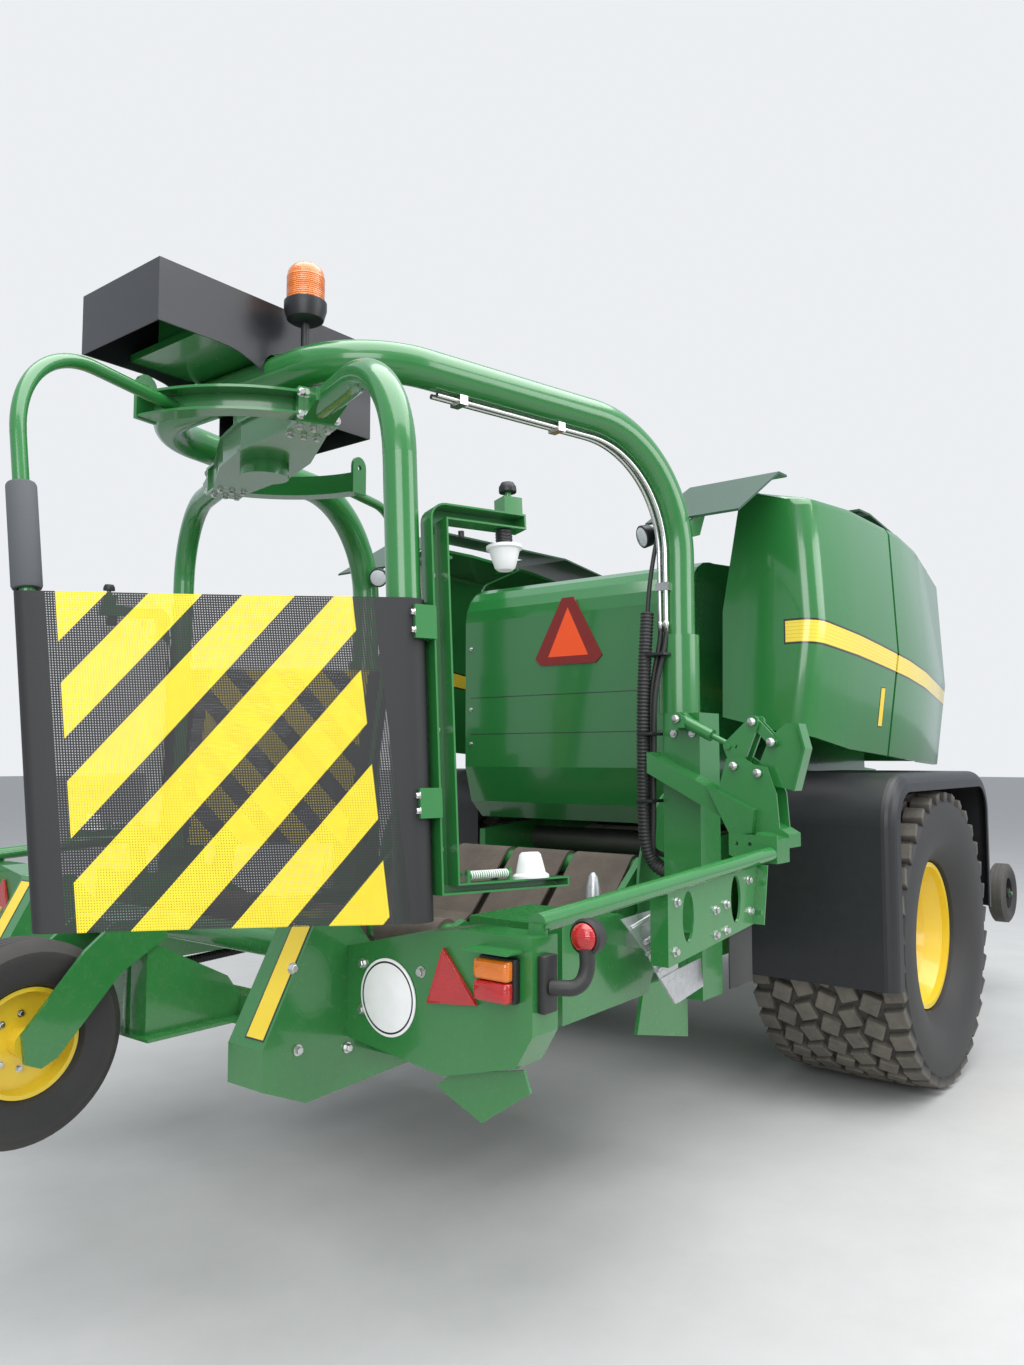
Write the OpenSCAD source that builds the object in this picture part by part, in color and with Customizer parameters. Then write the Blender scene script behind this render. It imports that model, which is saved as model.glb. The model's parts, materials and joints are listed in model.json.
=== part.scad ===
// Towed round baler with a bale wrapper behind it, parked on its wheels and its jack.
// Millimetres. The origin is on the ground under the middle of the main axle,
// +X points to the drawbar, +Y to the left and +Z up.

/* [Main wheels] */
// Outer diameter of the main tyres over their tread
tyre_d = 1380; // [1340:10:1400]
// Width of the main tyres
tyre_w = 710; // [620:10:720]
// Distance between the centre planes of the main tyres
track = 2240; // [2220:10:2280]
// Diameter of the main rims at the bead
rim_d = 680; // [640:10:720]
// Radius of the axle stubs
stub_r = 45; // [38:1:55]

/* [Fenders] */
// Gap between the tyre and the fender above it
fender_gap = 70; // [50:5:100]
// Wall of the fenders
fender_t = 8; // [6:1:12]
// Depth of the rounded outer lip of a fender
lip_d = 90; // [70:5:110]

/* [Bale chamber] */
// Inner diameter of the bale chamber
chamber_d = 1380; // [1340:10:1400]
// Middle of the chamber ahead of the axle
chamber_x = -140; // [-160:5:-120]
// Middle of the chamber above the ground
chamber_z = 1650; // [1630:5:1670]
// Width of the chamber body over its side walls
body_w = 1340; // [1300:10:1350]
// Thickness of the chamber side walls
wall_t = 36; // [30:2:60]
// Thickness of the curved walls round the chamber
skin_t = 20; // [14:2:40]
// Radius of the rollers in the chamber
roller_r = 60; // [50:5:65]

/* [Side panels] */
// Wall of the side panels and doors
panel_t = 16; // [12:1:28]
// Gap between a side door and the panel ahead of it
door_gap = 22; // [20:1:30]

/* [Overhead hoop] */
// Radius of the overhead tube
hoop_r = 65; // [60:1:68]
// Height of the tube's centre above the ground
hoop_z = 2800; // [2780:5:2820]
// Half distance between the two columns
column_y = 900; // [885:5:915]
// Columns behind the axle
column_x = -1510; // [-1530:5:-1490]

/* [Wrapping rotor] */
// Rotor axis behind the axle
rotor_x = -2850; // [-2870:5:-2830]
// Rear length of the overhead tube behind the rotor axis
hoop_back = 110; // [90:5:130]
// Direction of the first rotor arm at rest, in degrees from +X
arm_angle = -110; // [-115:1:-105]
// Radius of the rotor arm tubes
arm_r = 44.5; // [40:0.5:48]
// Radius at which the arm tubes turn down
arm_reach = 1100; // [1080:5:1110]
// Radius of the guard tubes
guard_r = 20; // [16:1:22]
// Bottom of the guards and of the arms above the ground
guard_z = 1130; // [1125:5:1140]
// Top of the net guards above the ground
net_z = 1930; // [1880:10:1960]
// Thickness of the net guards
net_t = 6; // [4:1:8]

/* [Wrapping table] */
// Radius of the table rollers
table_roller_r = 55; // [45:1:60]
// Number of belts side by side on the table
belt_count = 4; // [3:1:5]
// Thickness of the belts
belt_t = 12; // [8:1:14]

/* [Rear] */
// Outer diameter of the rear support wheel
rear_wheel_d = 560; // [540:10:600]
// Width of the rear support tyre
rear_wheel_w = 160; // [140:10:170]
// Diameter of the round speed sign
sign_d = 200; // [180:10:210]

/* [Front] */
// Front end of the drawbar ahead of the axle
eye_front_x = 3950; // [3900:10:4000]
// Height of the drawbar eye above the ground
eye_z = 700; // [650:10:750]
// Radius of the drawbar eye's bore
eye_bore_r = 25; // [20:0.5:28]
// Radius of the power input shaft
input_r = 17.5; // [15:0.5:20]
// Outer diameter of the gauge wheels
gauge_d = 380; // [340:10:400]
// Distance between the pickup's tines
tine_pitch = 130; // [100:5:160]

/* [Hidden] */
$fn = 40;
fit = 0.05;
seat = 0.3;
tube_lap = 2;
tube_step = 0.2;
axle_z = tyre_d / 2;
rim_r = rim_d / 2;
half_w = body_w / 2;
chamber_r = chamber_d / 2;
wheel_y = track / 2;

// Plain vector helpers
function unit(v) = v / norm(v);
function polar(r, a, z = 0) = [r * cos(a), r * sin(a), z];

// Outline moved inwards by d along the bisectors of its corners, counter-clockwise points
function inset(pts, d) = [
  for (i = [0:len(pts) - 1])
    let (
      n = len(pts),
      a = unit(pts[i] - pts[(i + n - 1) % n]),
      b = unit(pts[(i + 1) % n] - pts[i]),
      m = [-a.y - b.y, a.x + b.x]
    )
    pts[i] + m * d / (1 + a * b)
];

// Points along an arc about c, from angle a0 to a1
function arc(c, r, a0, a1, n = 6) = [
  for (i = [0:n]) c + r * [cos(a0 + (a1 - a0) * i / n), sin(a0 + (a1 - a0) * i / n)]
];

// Round bar between two points
module bar(a, b, r) {
  v = b - a;
  translate(a)
    rotate([0, acos(v.z / norm(v)), atan2(v.y, v.x)])
      cylinder(h = norm(v), r = r);
}

// Quarter-like bend of a round tube at the corner p between two directions
module tube_bend(p, d1, d2, bend, r) {
  turn = acos(d1 * d2);
  n = unit(d2 - d1 * cos(turn));
  c = p - d1 * bend * tan(turn / 2) + n * bend;
  z = cross(-n, d1);
  multmatrix([
    [-n.x, d1.x, z.x, c.x],
    [-n.y, d1.y, z.y, c.y],
    [-n.z, d1.z, z.z, c.z],
    [0, 0, 0, 1]
  ])
    rotate_extrude(angle = turn)
      translate([bend, 0])
        circle(r = r);
}

// Round tube along a path, with one bend radius for each inner corner. The straight
// lengths are a hair thinner and reach a little way into the bends.
module bent_tube(path, bends, r) {
  n = len(path);
  dirs = [for (i = [0:n - 2]) unit(path[i + 1] - path[i])];
  cut = [
    for (i = [0:n - 1])
      (i == 0 || i == n - 1) ? 0 : bends[i - 1] * tan(acos(dirs[i - 1] * dirs[i]) / 2) - tube_lap
  ];
  for (i = [0:n - 2])
    bar(path[i] + dirs[i] * cut[i], path[i + 1] - dirs[i] * cut[i + 1], r - tube_step);
  for (i = [1:n - 2])
    tube_bend(path[i], dirs[i - 1], dirs[i], bends[i - 1], r);
}

// Solid through rings of points that all have the same count, each ring running
// counter-clockwise as seen from the last one
module loft(rings) {
  n = len(rings[0]);
  m = len(rings);
  pts = [for (ring = rings) each ring];
  sides = [
    for (j = [0:m - 2], i = [0:n - 1])
      let (k = (i + 1) % n)
      each [
        [j * n + i, (j + 1) * n + k, j * n + k],
        [j * n + i, (j + 1) * n + i, (j + 1) * n + k]
      ]
  ];
  first = [[for (i = [0:n - 1]) i]];
  last = [[for (i = [n - 1:-1:0]) (m - 1) * n + i]];
  polyhedron(points = pts, faces = concat(sides, first, last));
}

// Plate with an outline in X and Z, between two values of Y
module plate_xz(pts, y0, y1) {
  translate([0, y1, 0])
    rotate([90, 0, 0])
      linear_extrude(height = y1 - y0)
        polygon(pts);
}

// Plate with an outline in Y and Z, between two values of X
module plate_yz(pts, x0, x1) {
  translate([x0, 0, 0])
    rotate([90, 0, 90])
      linear_extrude(height = x1 - x0)
        polygon(pts);
}

// Box between two corners
module block(a, b) {
  translate(a)
    cube(b - a);
}

// Cylinder along Y about a point
module bar_y(c, r, y0, y1) {
  translate([c.x, y1, c.y])
    rotate([90, 0, 0])
      cylinder(h = y1 - y0, r = r);
}

// The same on the right and on the left
module both_sides() {
  children();
  mirror([0, 1, 0])
    children();
}

// Main wheels

tyre_half = tyre_w / 2;
tread_half = tyre_half - 28;
shoulder_d = 48;

// Half outline of a tyre, from bead to crown: radius and distance from its middle plane
function tyre_side(r, bead, half, crown_half, shoulder) = [
  [bead, half * 0.7],
  [bead + (r - bead) * 0.12, half * 0.78],
  [bead + (r - bead) * 0.42, half],
  [bead + (r - bead) * 0.62, half * 0.985],
  [r - shoulder, crown_half + shoulder * 0.3],
  [r - shoulder * 0.3, crown_half],
  [r, crown_half * 0.86]
];

module tyre_ring(r, bead, half, crown_half, shoulder) {
  side = tyre_side(r, bead, half, crown_half, shoulder);
  other = [for (i = [len(side) - 1:-1:0]) [side[i].x, -side[i].y]];
  rotate([90, 0, 0])
    rotate_extrude($fn = 60)
      polygon(concat(side, other));
}

module main_tyre() {
  color([0.09, 0.09, 0.09])
    translate([0, wheel_y, axle_z])
      tyre_ring(axle_z, rim_r, tyre_half, tread_half, shoulder_d);
}

hub_in = -60;
hub_out = 130;
hub_r = 105;

// Rim and disc: radius and distance outwards from the wheel's middle plane
rim_outline = [
  [rim_r - seat, -230], [rim_r - seat, -255], [rim_r - 22, -255], [rim_r - 22, -225],
  [rim_r - 60, -150], [rim_r - 60, 60], [150, 40], [hub_r, 10], [hub_r, hub_in],
  [stub_r + fit, hub_in], [stub_r + fit, hub_out], [hub_r - 20, hub_out], [hub_r, 60],
  [150, 70], [rim_r - 80, 95], [rim_r - 60, 150], [rim_r - 22, 225], [rim_r - 22, 255],
  [rim_r - seat, 255], [rim_r - seat, 230], [rim_r - 12, 215], [rim_r - 45, 140],
  [rim_r - 45, -140], [rim_r - 12, -215]
];

module main_rim() {
  color([0.93, 0.72, 0.06])
    translate([0, wheel_y, axle_z])
      rotate([-90, 0, 0])
        rotate_extrude($fn = 60)
          polygon(rim_outline);
}

beam_half = 70;

module axle() {
  beam = beam_half;
  inner = wheel_y - tyre_half - 30;
  color([0.10, 0.35, 0.14]) {
    block([-beam, -inner, axle_z - beam], [beam, inner, axle_z + beam]);
    both_sides() {
      bar_y([0, axle_z], 90, inner, wheel_y + hub_in - 20);
      bar_y([0, axle_z], stub_r, wheel_y + hub_in - 20, wheel_y + hub_out - 5);
    }
  }
}

// Fenders

fender_r = axle_z + fender_gap;
fender_in = half_w + 110;
fender_out = track / 2 + tyre_w / 2 + 5;
fender_corner = 210;
fender_drop = 60;

// Section of a fender across its width: distance over the arch, then distance from y = 0
fender_section = concat(
  [[fender_r, fender_in], [fender_r + fender_t, fender_in]],
  arc([fender_r + fender_t - 55, fender_out - 55], 55, 0, 75, 5),
  [[fender_r - lip_d + 20, fender_out + 2]],
  [[fender_r - lip_d + 20, fender_out + 2 - fender_t]],
  arc([fender_r + fender_t - 55, fender_out - 55], 55 - fender_t, 75, 0, 5)
);

module fender_part(h) {
  linear_extrude(height = h)
    polygon(fender_section);
}

// Arch of a fender: straight behind, rounded over the wheel, straight in front
module fender(skirt) {
  core = fender_r - fender_corner;
  color([0.05, 0.05, 0.055]) {
    // corners over the wheel
    for (side = [0, 1])
      mirror([side, 0, 0])
        translate([core, 0, axle_z + core])
          rotate([-90, 0, 0])
            rotate([0, 0, -90])
              rotate_extrude(angle = 90)
                translate([-core, 0])
                  polygon(fender_section);
    // flat top
    translate([-core, 0, axle_z])
      rotate([90, 0, 90])
        linear_extrude(height = 2 * core)
          polygon([for (p = fender_section) [p.y, p.x]]);
    // upright ends, the rear one longer
    translate([0, 0, skirt])
      linear_extrude(height = axle_z + core - skirt)
        polygon([for (p = fender_section) [-p.x, p.y]]);
    translate([0, 0, axle_z + fender_drop])
      linear_extrude(height = core - fender_drop)
        polygon([for (p = fender_section) [p.x, p.y]]);
  }
}

// Chamber body: outlines in X and Z

hinge_x = 300;
hinge_z = 2300;
pin_r = 30;

body_outline = [
  [-880, 930], [-640, 800], [-560, 780], [800, 780], [1060, 900], [1180, 1300],
  [1160, 1900], [980, 2280], [780, 2440], [420, 2490], [120, 2420], [60, 2250],
  [-60, 1500], [-330, 1195], [-880, 1150]
];
gate_outline = concat(
  [[-350, 1225], [-85, 1510], [25, 2260], [30, 2500]],
  [[-760, 2440]],
  arc([-800, 2240], 200, 90, 180, 5),
  [[-1000, 1480], [-950, 1300], [-860, 1215]]
);

// Rollers round the chamber: angle about the chamber's middle
front_rollers = [-116, -100, -84, -68, -52, -36, -20, -4, 12, 28, 44, 60];
gate_rollers = [108, 125, 142, 159, 176, 193, 208];

module chamber_roller(angle) {
  c = [chamber_x, chamber_z] + (chamber_r - roller_r) * [cos(angle), sin(angle)];
  bar_y(c, roller_r, -half_w + wall_t, half_w - wall_t);
}

module chamber() {
  inner = half_w - wall_t;
  color([0.10, 0.35, 0.14])
    difference() {
      plate_xz(body_outline, -inner, inner);
      // hollow, open to the tailgate
      plate_xz(concat([[-1000, 900], [-640, 860]],
        [for (i = [3:9]) inset(body_outline, skin_t)[i]],
        [[60, 2440], [-1000, 2440]]), -inner - 1, inner + 1);
    }
}

module chamber_walls() {
  color([0.10, 0.35, 0.14])
    both_sides() {
      plate_xz(body_outline, half_w - wall_t, half_w);
      bar_y([hinge_x, hinge_z], pin_r, half_w - 5, half_w + 48);
    }
}

module chamber_rollers() {
  color([0.16, 0.16, 0.15])
    for (a = front_rollers)
      chamber_roller(a);
}

gate_arm_t = 40;

module tailgate() {
  inner = half_w - wall_t;
  color([0.10, 0.38, 0.15])
    difference() {
      plate_xz(gate_outline, -inner, inner);
      // hollow, open to the chamber
      plate_xz(concat([for (i = [4:len(gate_outline) - 1]) inset(gate_outline, skin_t)[i]],
        [[-350 + skin_t, 1225 + skin_t], [60, 1400], [60, 2500 - skin_t]]), -inner - 1, inner + 1);
    }
}

module tailgate_walls() {
  color([0.10, 0.38, 0.15])
    both_sides() {
      plate_xz(gate_outline, half_w - wall_t, half_w);
      // arm to the hinge pin
      difference() {
        plate_xz(
          concat([[-420, 2200], [hinge_x, hinge_z - 80]],
            arc([hinge_x, hinge_z], 80, -90, 90, 6),
            [[-420, 2430]]),
          half_w + seat, half_w + gate_arm_t);
        bar_y([hinge_x, hinge_z], pin_r + fit, half_w - 1, half_w + gate_arm_t + 1);
      }
      plate_xz([[-420, 2210], [-120, 2240], [-120, 2425], [-420, 2425]], half_w - 5, half_w + gate_arm_t);
    }
}

module tailgate_rollers() {
  color([0.16, 0.16, 0.15])
    for (a = gate_rollers)
      chamber_roller(a);
}

sign_x = -1000;

module tailgate_sign() {
  color([0.95, 0.27, 0.08])
    plate_yz([[-200, 2020], [-165, 1985], [165, 1985], [200, 2020], [35, 2315], [-35, 2315]],
      sign_x - 6, sign_x);
}

module gear_case() {
  side = rail_y - 50 - seat;
  back = 1180 + seat;
  front = panel_front - panel_t - seat;
  color([0.12, 0.36, 0.15]) {
    plate_xz([[back, 640], [1610, 640], [1610, 900], [1720, 920], [1720, 1450],
      [front, 1470], [front, 2180], [back, 2180]], -side, side);
    plate_xz([[back, 930], [1700, 930], [1700, 1440], [back, 1440]], -740, 740);
  }
}

// Lean of the side panels outwards below their crease and inwards above it, the same at
// every x so that each face of the skin is flat
lower_lean = 0.1275;
upper_lean = 0.055;

// Side panels: x, half width at the bottom, then height of the bottom, the crease and the top edge
panel_table = [
  [-1000, 1206, 1625, 2100, 2634],
  [-600, 1240, 1565, 2060, 2650],
  [0, 1262, 1525, 2010, 2636],
  [300, 1254, 1510, 1985, 2604],
  [800, 1206, 1490, 1920, 2510],
  [1250, 1066, 1485, 1860, 2330],
  [1450, 900, 1500, 1850, 2200]
];

// Same rows with the half widths: x, then half width and height of the bottom, the crease and the top
panel_rows = [
  for (r = panel_table)
    let (crease = r[1] + (r[3] - r[2]) * lower_lean)
    [r[0], r[1], r[2], crease, r[3], crease - (r[4] - 40 - r[3]) * upper_lean, r[4]]
];

door_x = -160;
panel_front = 1440;

// Row of the table at any x, straight between two neighbours
function panel_row(x) = [
  for (c = [0:6])
    lookup(x, [for (r = panel_rows) [r[0], r[c]]])
];

// Half width inside the panel's wall over a length of 40 above z
function panel_inside(x, z) =
  let (r = panel_row(x), rows = [[r[2], r[1]], [r[4], r[3]], [r[6] - 40, r[5]]])
  min(lookup(z, rows), lookup(z + 40, rows)) - panel_t;

// How far the rounded rear corner of the door stands in at one x
function corner_in(x) = lookup(x, [[-1000, 70], [-992, 45], [-975, 20], [-945, 5], [-910, 0]]);

// Ring round the wall of the panel at one x
function panel_ring(row) =
  let (
    x = row[0],
    outer = [[row[1], row[2]], [row[3], row[4]], [row[5], row[6] - 40],
      [row[5] - 45, row[6]], [row[5] - 300, row[6] + 60]],
    inner = [[row[5] - 300, row[6] + 60 - panel_t], [row[5] - 55, row[6] - panel_t],
      [row[5] - panel_t + 10 * upper_lean, row[6] - 50], [row[3] - panel_t, row[4]], [row[1] - panel_t, row[2]]]
  )
  [for (p = concat(outer, inner)) [x, p.x - (p.x > 1000 ? corner_in(x) : 0), p.y]];

module panel_skin(xs) {
  loft([for (x = xs) panel_ring(panel_row(x))]);
}

// The doors hang on pins along X under the edge of the roof
door_pin = [950, 2660];
door_pin_r = 10;
bracket_t = 20;
door_hinges = [-900, -330];

module door() {
  row = panel_row(-1000);
  in = corner_in(-1000) + panel_t / 2;
  color([0.11, 0.40, 0.16]) {
    difference() {
      panel_skin([-1000, -992, -975, -945, -910, -600, door_x]);
      // slots round the roof's brackets
      for (x = door_hinges)
        block([x - bracket_t - 4, door_pin.x - 60, door_pin.y - 60],
          [x - seat / 2, door_pin.x + 65, door_pin.y + 90]);
    }
    // rear face
    plate_yz([
      [row[1] - in, row[2] + 3], [row[3] - in, row[4]], [row[5] - in, row[6] - 44], [row[5] - in - 38, row[6] - 6],
      [930, 2688], [835, 2169], [828, 1705]
    ], -998, -1000 + panel_t);
    // hinge knuckles
    for (x = door_hinges)
      difference() {
        union() {
          bar([x, door_pin.x, door_pin.y], [x + 60, door_pin.x, door_pin.y], 20);
          block([x, door_pin.x, door_pin.y - 20], [x + 60, door_pin.x + 90, panel_row(x)[6] + 35]);
        }
        bar([x - 1, door_pin.x, door_pin.y], [x + 61, door_pin.x, door_pin.y], door_pin_r + fit);
      }
  }
}

module panel_arms() {
  color([0.08, 0.30, 0.12])
    both_sides() {
      // arms to the fixed panel
      for (z = [1700, 2080], x = [70, 900])
        block([x, half_w, z], [x + 40, min(panel_inside(x, z), panel_inside(x + 40, z)) - seat, z + 40]);
      // brackets under the fenders
      for (x = [-90, 300])
        block([x, half_w, axle_z + fender_r - 40], [x + 40, 1300, axle_z + fender_r]);
    }
}

module side_panels() {
  front_row = panel_row(1450);
  color([0.11, 0.40, 0.16]) {
    both_sides()
      panel_skin([door_x + door_gap, 0, 300, 800, 1250, 1450]);
    // front face between the two sides
    plate_yz([
      [-front_row[1] + 8, front_row[2] + 5], [front_row[1] - 8, front_row[2] + 5],
      [front_row[3] - 8, front_row[4]], [front_row[5] - 8, front_row[6] - 42], [600, 2245],
      [-600, 2245], [-front_row[5] + 8, front_row[6] - 42], [-front_row[3] + 8, front_row[4]]
    ], panel_front - panel_t, panel_front);
  }
}

roof_t = 10;
roof_line = [[-1475, 2485], [-1090, 2716], [0, 2740], [500, 2680], [900, 2580]];
door_edge = door_x + door_gap / 2;

module roof() {
  color([0.06, 0.22, 0.09]) {
    both_sides() {
      difference() {
        plate_xz(concat(roof_line, [for (i = [len(roof_line) - 1:-1:0]) roof_line[i] + [0, roof_t]]),
          half_w + 60, 1150);
        bent_tube(hoop_path, hoop_bends, hoop_r + seat);
        // room over the door
        block([-1010, door_pin.x - 30, 2600], [door_edge, 1200, 2800]);
      }
      // brackets and pins of the door
      for (x = door_hinges) {
        block([x - bracket_t, door_pin.x - 40, door_pin.y - 15], [x - seat, door_pin.x + 12, door_pin.y + 15]);
        block([x - bracket_t, door_pin.x - 40, door_pin.y - 15],
          [x - seat, door_pin.x - 12, lookup(x, roof_line) + 2]);
        bar([x - 10, door_pin.x, door_pin.y], [x + 58, door_pin.x, door_pin.y], door_pin_r);
      }
    }
    // cover over the front of the chamber
    plate_xz([[450, 2520], [900, 2480], [900, 2580 + roof_t], [450, 2560]], -half_w - 60, half_w + 60);
  }
}

// Chassis under the chamber

rail_y = 600;

module chassis() {
  color([0.10, 0.35, 0.14]) {
    both_sides() {
      // rail, notched over the axle beam
      difference() {
        block([-1590, rail_y - 50, 610], [1620, rail_y + 50, 780]);
        block([-beam_half - seat, rail_y - 60, 600], [beam_half + seat, rail_y + 60, axle_z + beam_half + seat]);
      }
      // bracket of the pickup's pin
      difference() {
        block([1290, rail_y + 10, 700], [1410, rail_y + 49, 910]);
        bar_y(lift_pin, 30 + fit, rail_y, rail_y + 60);
      }
    }
    block([-1590, -1030, 620], [-1430, 1030, 780]);
    // lugs that carry the wrapping table's pins
    both_sides()
      difference() {
        plate_xz([[-1580, 640], [-1580, 775], [-1620, 810], [-1680, 810], [-1705, 770], [-1690, 710]],
          table_half + seat, table_half + 22);
        bar_y(table_pivot, 25 + fit, table_half - 1, table_half + 40);
      }
  }
}

// Overhead hoop

hoop_rear_x = rotor_x - hoop_back;
hoop_path = [
  [column_x, -column_y, 1705], [column_x, -column_y, hoop_z],
  [hoop_rear_x, -585, hoop_z], [hoop_rear_x, 585, hoop_z],
  [column_x, column_y, hoop_z], [column_x, column_y, 1705]
];
hoop_bends = [480, 330, 330, 480];

module hoop() {
  color([0.11, 0.40, 0.16])
    bent_tube(hoop_path, hoop_bends, hoop_r);
}

post_side = 80;

module posts() {
  color([0.10, 0.35, 0.14])
    both_sides() {
      block([column_x - post_side, column_y - 30, 780], [column_x + post_side, column_y + 130, 1700]);
      // clamp collar round the foot of the column
      difference() {
        translate([column_x, column_y, 1700])
          cylinder(h = 310, r = hoop_r + 16);
        translate([column_x, column_y, 1699])
          cylinder(h = 320, r = hoop_r + seat);
      }
      // round side plate beside the table's front end
      difference() {
        bar_y([-1120, 1000], 440, 724, 736);
        block([-1110, 700, 500], [-600, 760, 1500]);
        block([-1700, 700, 500], [-600, 760, 780]);
      }
      block([-1430, 724, 620], [-1110, 736, 780]);
      // bracket between the tube and the canopy
      difference() {
        plate_xz([[-1500, 2400], [-1400, 2430], [-1330, 2566.6], [-1465, 2482.7], [-1500, 2460]],
          column_y + 30, column_y + 42);
        bent_tube(hoop_path, hoop_bends, hoop_r + seat);
      }
    }
}

// Drive under and over the middle of the hoop

shaft_r = 40;
beam_top = hoop_z - 130;
deck_z = hoop_z + hoop_r + 25;
cover_rear = hoop_rear_x - 460;
cover_front = rotor_x + 300;
cover_top = hoop_z + 235;
cover_outline = concat(
  [[cover_rear, cover_top], [cover_rear, hoop_z + 40], [hoop_rear_x - 240, hoop_z + 40]],
  arc([hoop_rear_x - 240, hoop_z - 300], 340, 90, 62, 4),
  [[hoop_rear_x, beam_top + 35], [rotor_x + 80, beam_top + 15], [cover_front, beam_top + 15],
    [cover_front, cover_top]]
);
cover_half = 220;
cover_t = 5;

module drive_cover() {
  color([0.03, 0.03, 0.035])
    difference() {
      plate_xz(cover_outline, -cover_half, cover_half);
      block([cover_rear + cover_t, -cover_half + cover_t, beam_top - 70],
        [cover_front - cover_t, cover_half - cover_t, cover_top - cover_t]);
      // cut round the hoop
      bar([hoop_rear_x, -300, hoop_z], [hoop_rear_x, 300, hoop_z], hoop_r + 8);
      block([hoop_rear_x - hoop_r - 8, -300, beam_top - 70], [hoop_rear_x + hoop_r + 8, 300, hoop_z]);
    }
}

module rotor_drive() {
  color([0.10, 0.35, 0.14])
    difference() {
      union() {
        // bearing housing, carrier plate and motor
        translate([rotor_x, 0, beam_top + 12])
          cylinder(h = deck_z - beam_top - 12, r = 110);
        block([hoop_rear_x - 290, -cover_half + cover_t + seat, hoop_z + hoop_r + seat],
          [rotor_x + 100, cover_half - cover_t - seat, deck_z]);
        block([rotor_x + 90, -120, beam_top + 60], [rotor_x + 230, 120, cover_top - 60]);
        block([hoop_rear_x - 270, -80, deck_z - 5], [hoop_rear_x - 90, 80, cover_top - 40]);
      }
      bar([hoop_rear_x, -300, hoop_z], [hoop_rear_x, 300, hoop_z], hoop_r + seat);
      translate([rotor_x, 0, beam_top])
        cylinder(h = 300, r = shaft_r + fit);
    }
}

module beacon() {
  base = [-2950, -330];
  color([0.95, 0.42, 0.05]) {
    translate([base.x, base.y, hoop_z + hoop_r + seat])
      cylinder(h = 90, r = 12);
    translate([base.x, base.y, hoop_z + hoop_r + 90])
      cylinder(h = 60, r1 = 45, r2 = 68);
    translate([base.x, base.y, hoop_z + hoop_r + 150])
      cylinder(h = 85, r = 62);
    translate([base.x, base.y, hoop_z + hoop_r + 235])
      sphere(r = 62);
  }
}

// Steel pipes under the right leg of the hoop and down its column
pipe_r = 9;

module hoop_pipes() {
  leg = unit([hoop_rear_x, -585, hoop_z] - [column_x, -column_y, hoop_z]);
  down = hoop_r + 14;
  corner = [column_x - down, -column_y + 10, hoop_z - down];
  color([0.72, 0.72, 0.70])
    for (k = [0, 1]) {
      shift = [0, k * 26, 0];
      bent_tube([corner + shift + leg * 1100, corner + shift + leg * 10,
        [corner.x, corner.y, 2030] + shift], [400], pipe_r);
    }
  color([0.05, 0.05, 0.05])
    difference() {
      union() {
        for (along = [560, 1000])
          translate(corner + leg * along)
            rotate([0, 0, atan2(leg.y, leg.x)])
              block([-16, -42, -14], [16, 16, 40]);
        translate([corner.x, corner.y, 2200])
          block([-14, -14, -16], [40, 40, 16]);
      }
      bent_tube(hoop_path, hoop_bends, hoop_r + seat);
    }
}

// Frame of the wrapper behind the baler

tower_outline = [
  [-3440, 700], [-3300, 640], [-2900, 660], [-2900, 860], [-3060, 1000],
  [-3150, 1105], [-3270, 1105], [-3440, 800]
];
pod_outline = [[-2750, 790], [-2300, 800], [-2220, 930], [-2450, 1060], [-2750, 1060]];

module wrap_frame() {
  color([0.11, 0.40, 0.16]) {
    both_sides() {
      block([board_x + 100 + seat, 800, 720], [-1590, 880, 900]);
      plate_xz([[-1950, 560], [-1590, 480], [-1590, 720], [-1900, 720]], 950, 965);
      block([-1600, 880, 720], [-1590, 965, 780]);
      // rear corner tower: two cheeks with a wall round them
      difference() {
        plate_xz(tower_outline, 660, 800);
        plate_xz(inset(tower_outline, 10), 670, 790);
      }
      block([-3040, 760, 730], [-2920, 820, 850]);
      // pod beside the table, a hollow box
      difference() {
        plate_xz(pod_outline, 880, 1220);
        plate_xz(inset(pod_outline, 8), 888, 1212);
      }
    }
    // cross pieces at the back
    block([-2990, -700, 665], [-2910, 700, 760]);
    bar([-3000, -700, 950], [-3000, 700, 950], 45);
  }
}

board_outline = [
  [800, 780], [1150, 740], [1380, 800], [1430, 880], [1430, 1105], [1200, 1105],
  [1050, 1080], [800, 1020]
];

module lamp_boards() {
  color([0.11, 0.40, 0.16])
    both_sides() {
      // pressed pan, open to the front
      difference() {
        plate_yz(board_outline, board_x, board_x + 100);
        plate_yz(inset(board_outline, 8), board_x + 8, board_x + 101);
      }
      plate_yz([[1100, 700], [1250, 640], [1400, 740], [1380, 790], [1150, 739]], board_x + 30, board_x + 38);
    }
}

board_x = -3160;

module rear_lamps() {
  color([0.90, 0.90, 0.88])
    translate([board_x - 6, -960, 930])
      rotate([0, 90, 0])
        cylinder(h = 6, r = sign_d / 2);
  color([0.75, 0.06, 0.06])
    both_sides() {
      plate_yz([[1075, 870], [1235, 870], [1155, 1010]], board_x - 12, board_x);
      block([board_x - 60, 1265, 880], [board_x, 1395, 1010]);
    }
}

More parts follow.
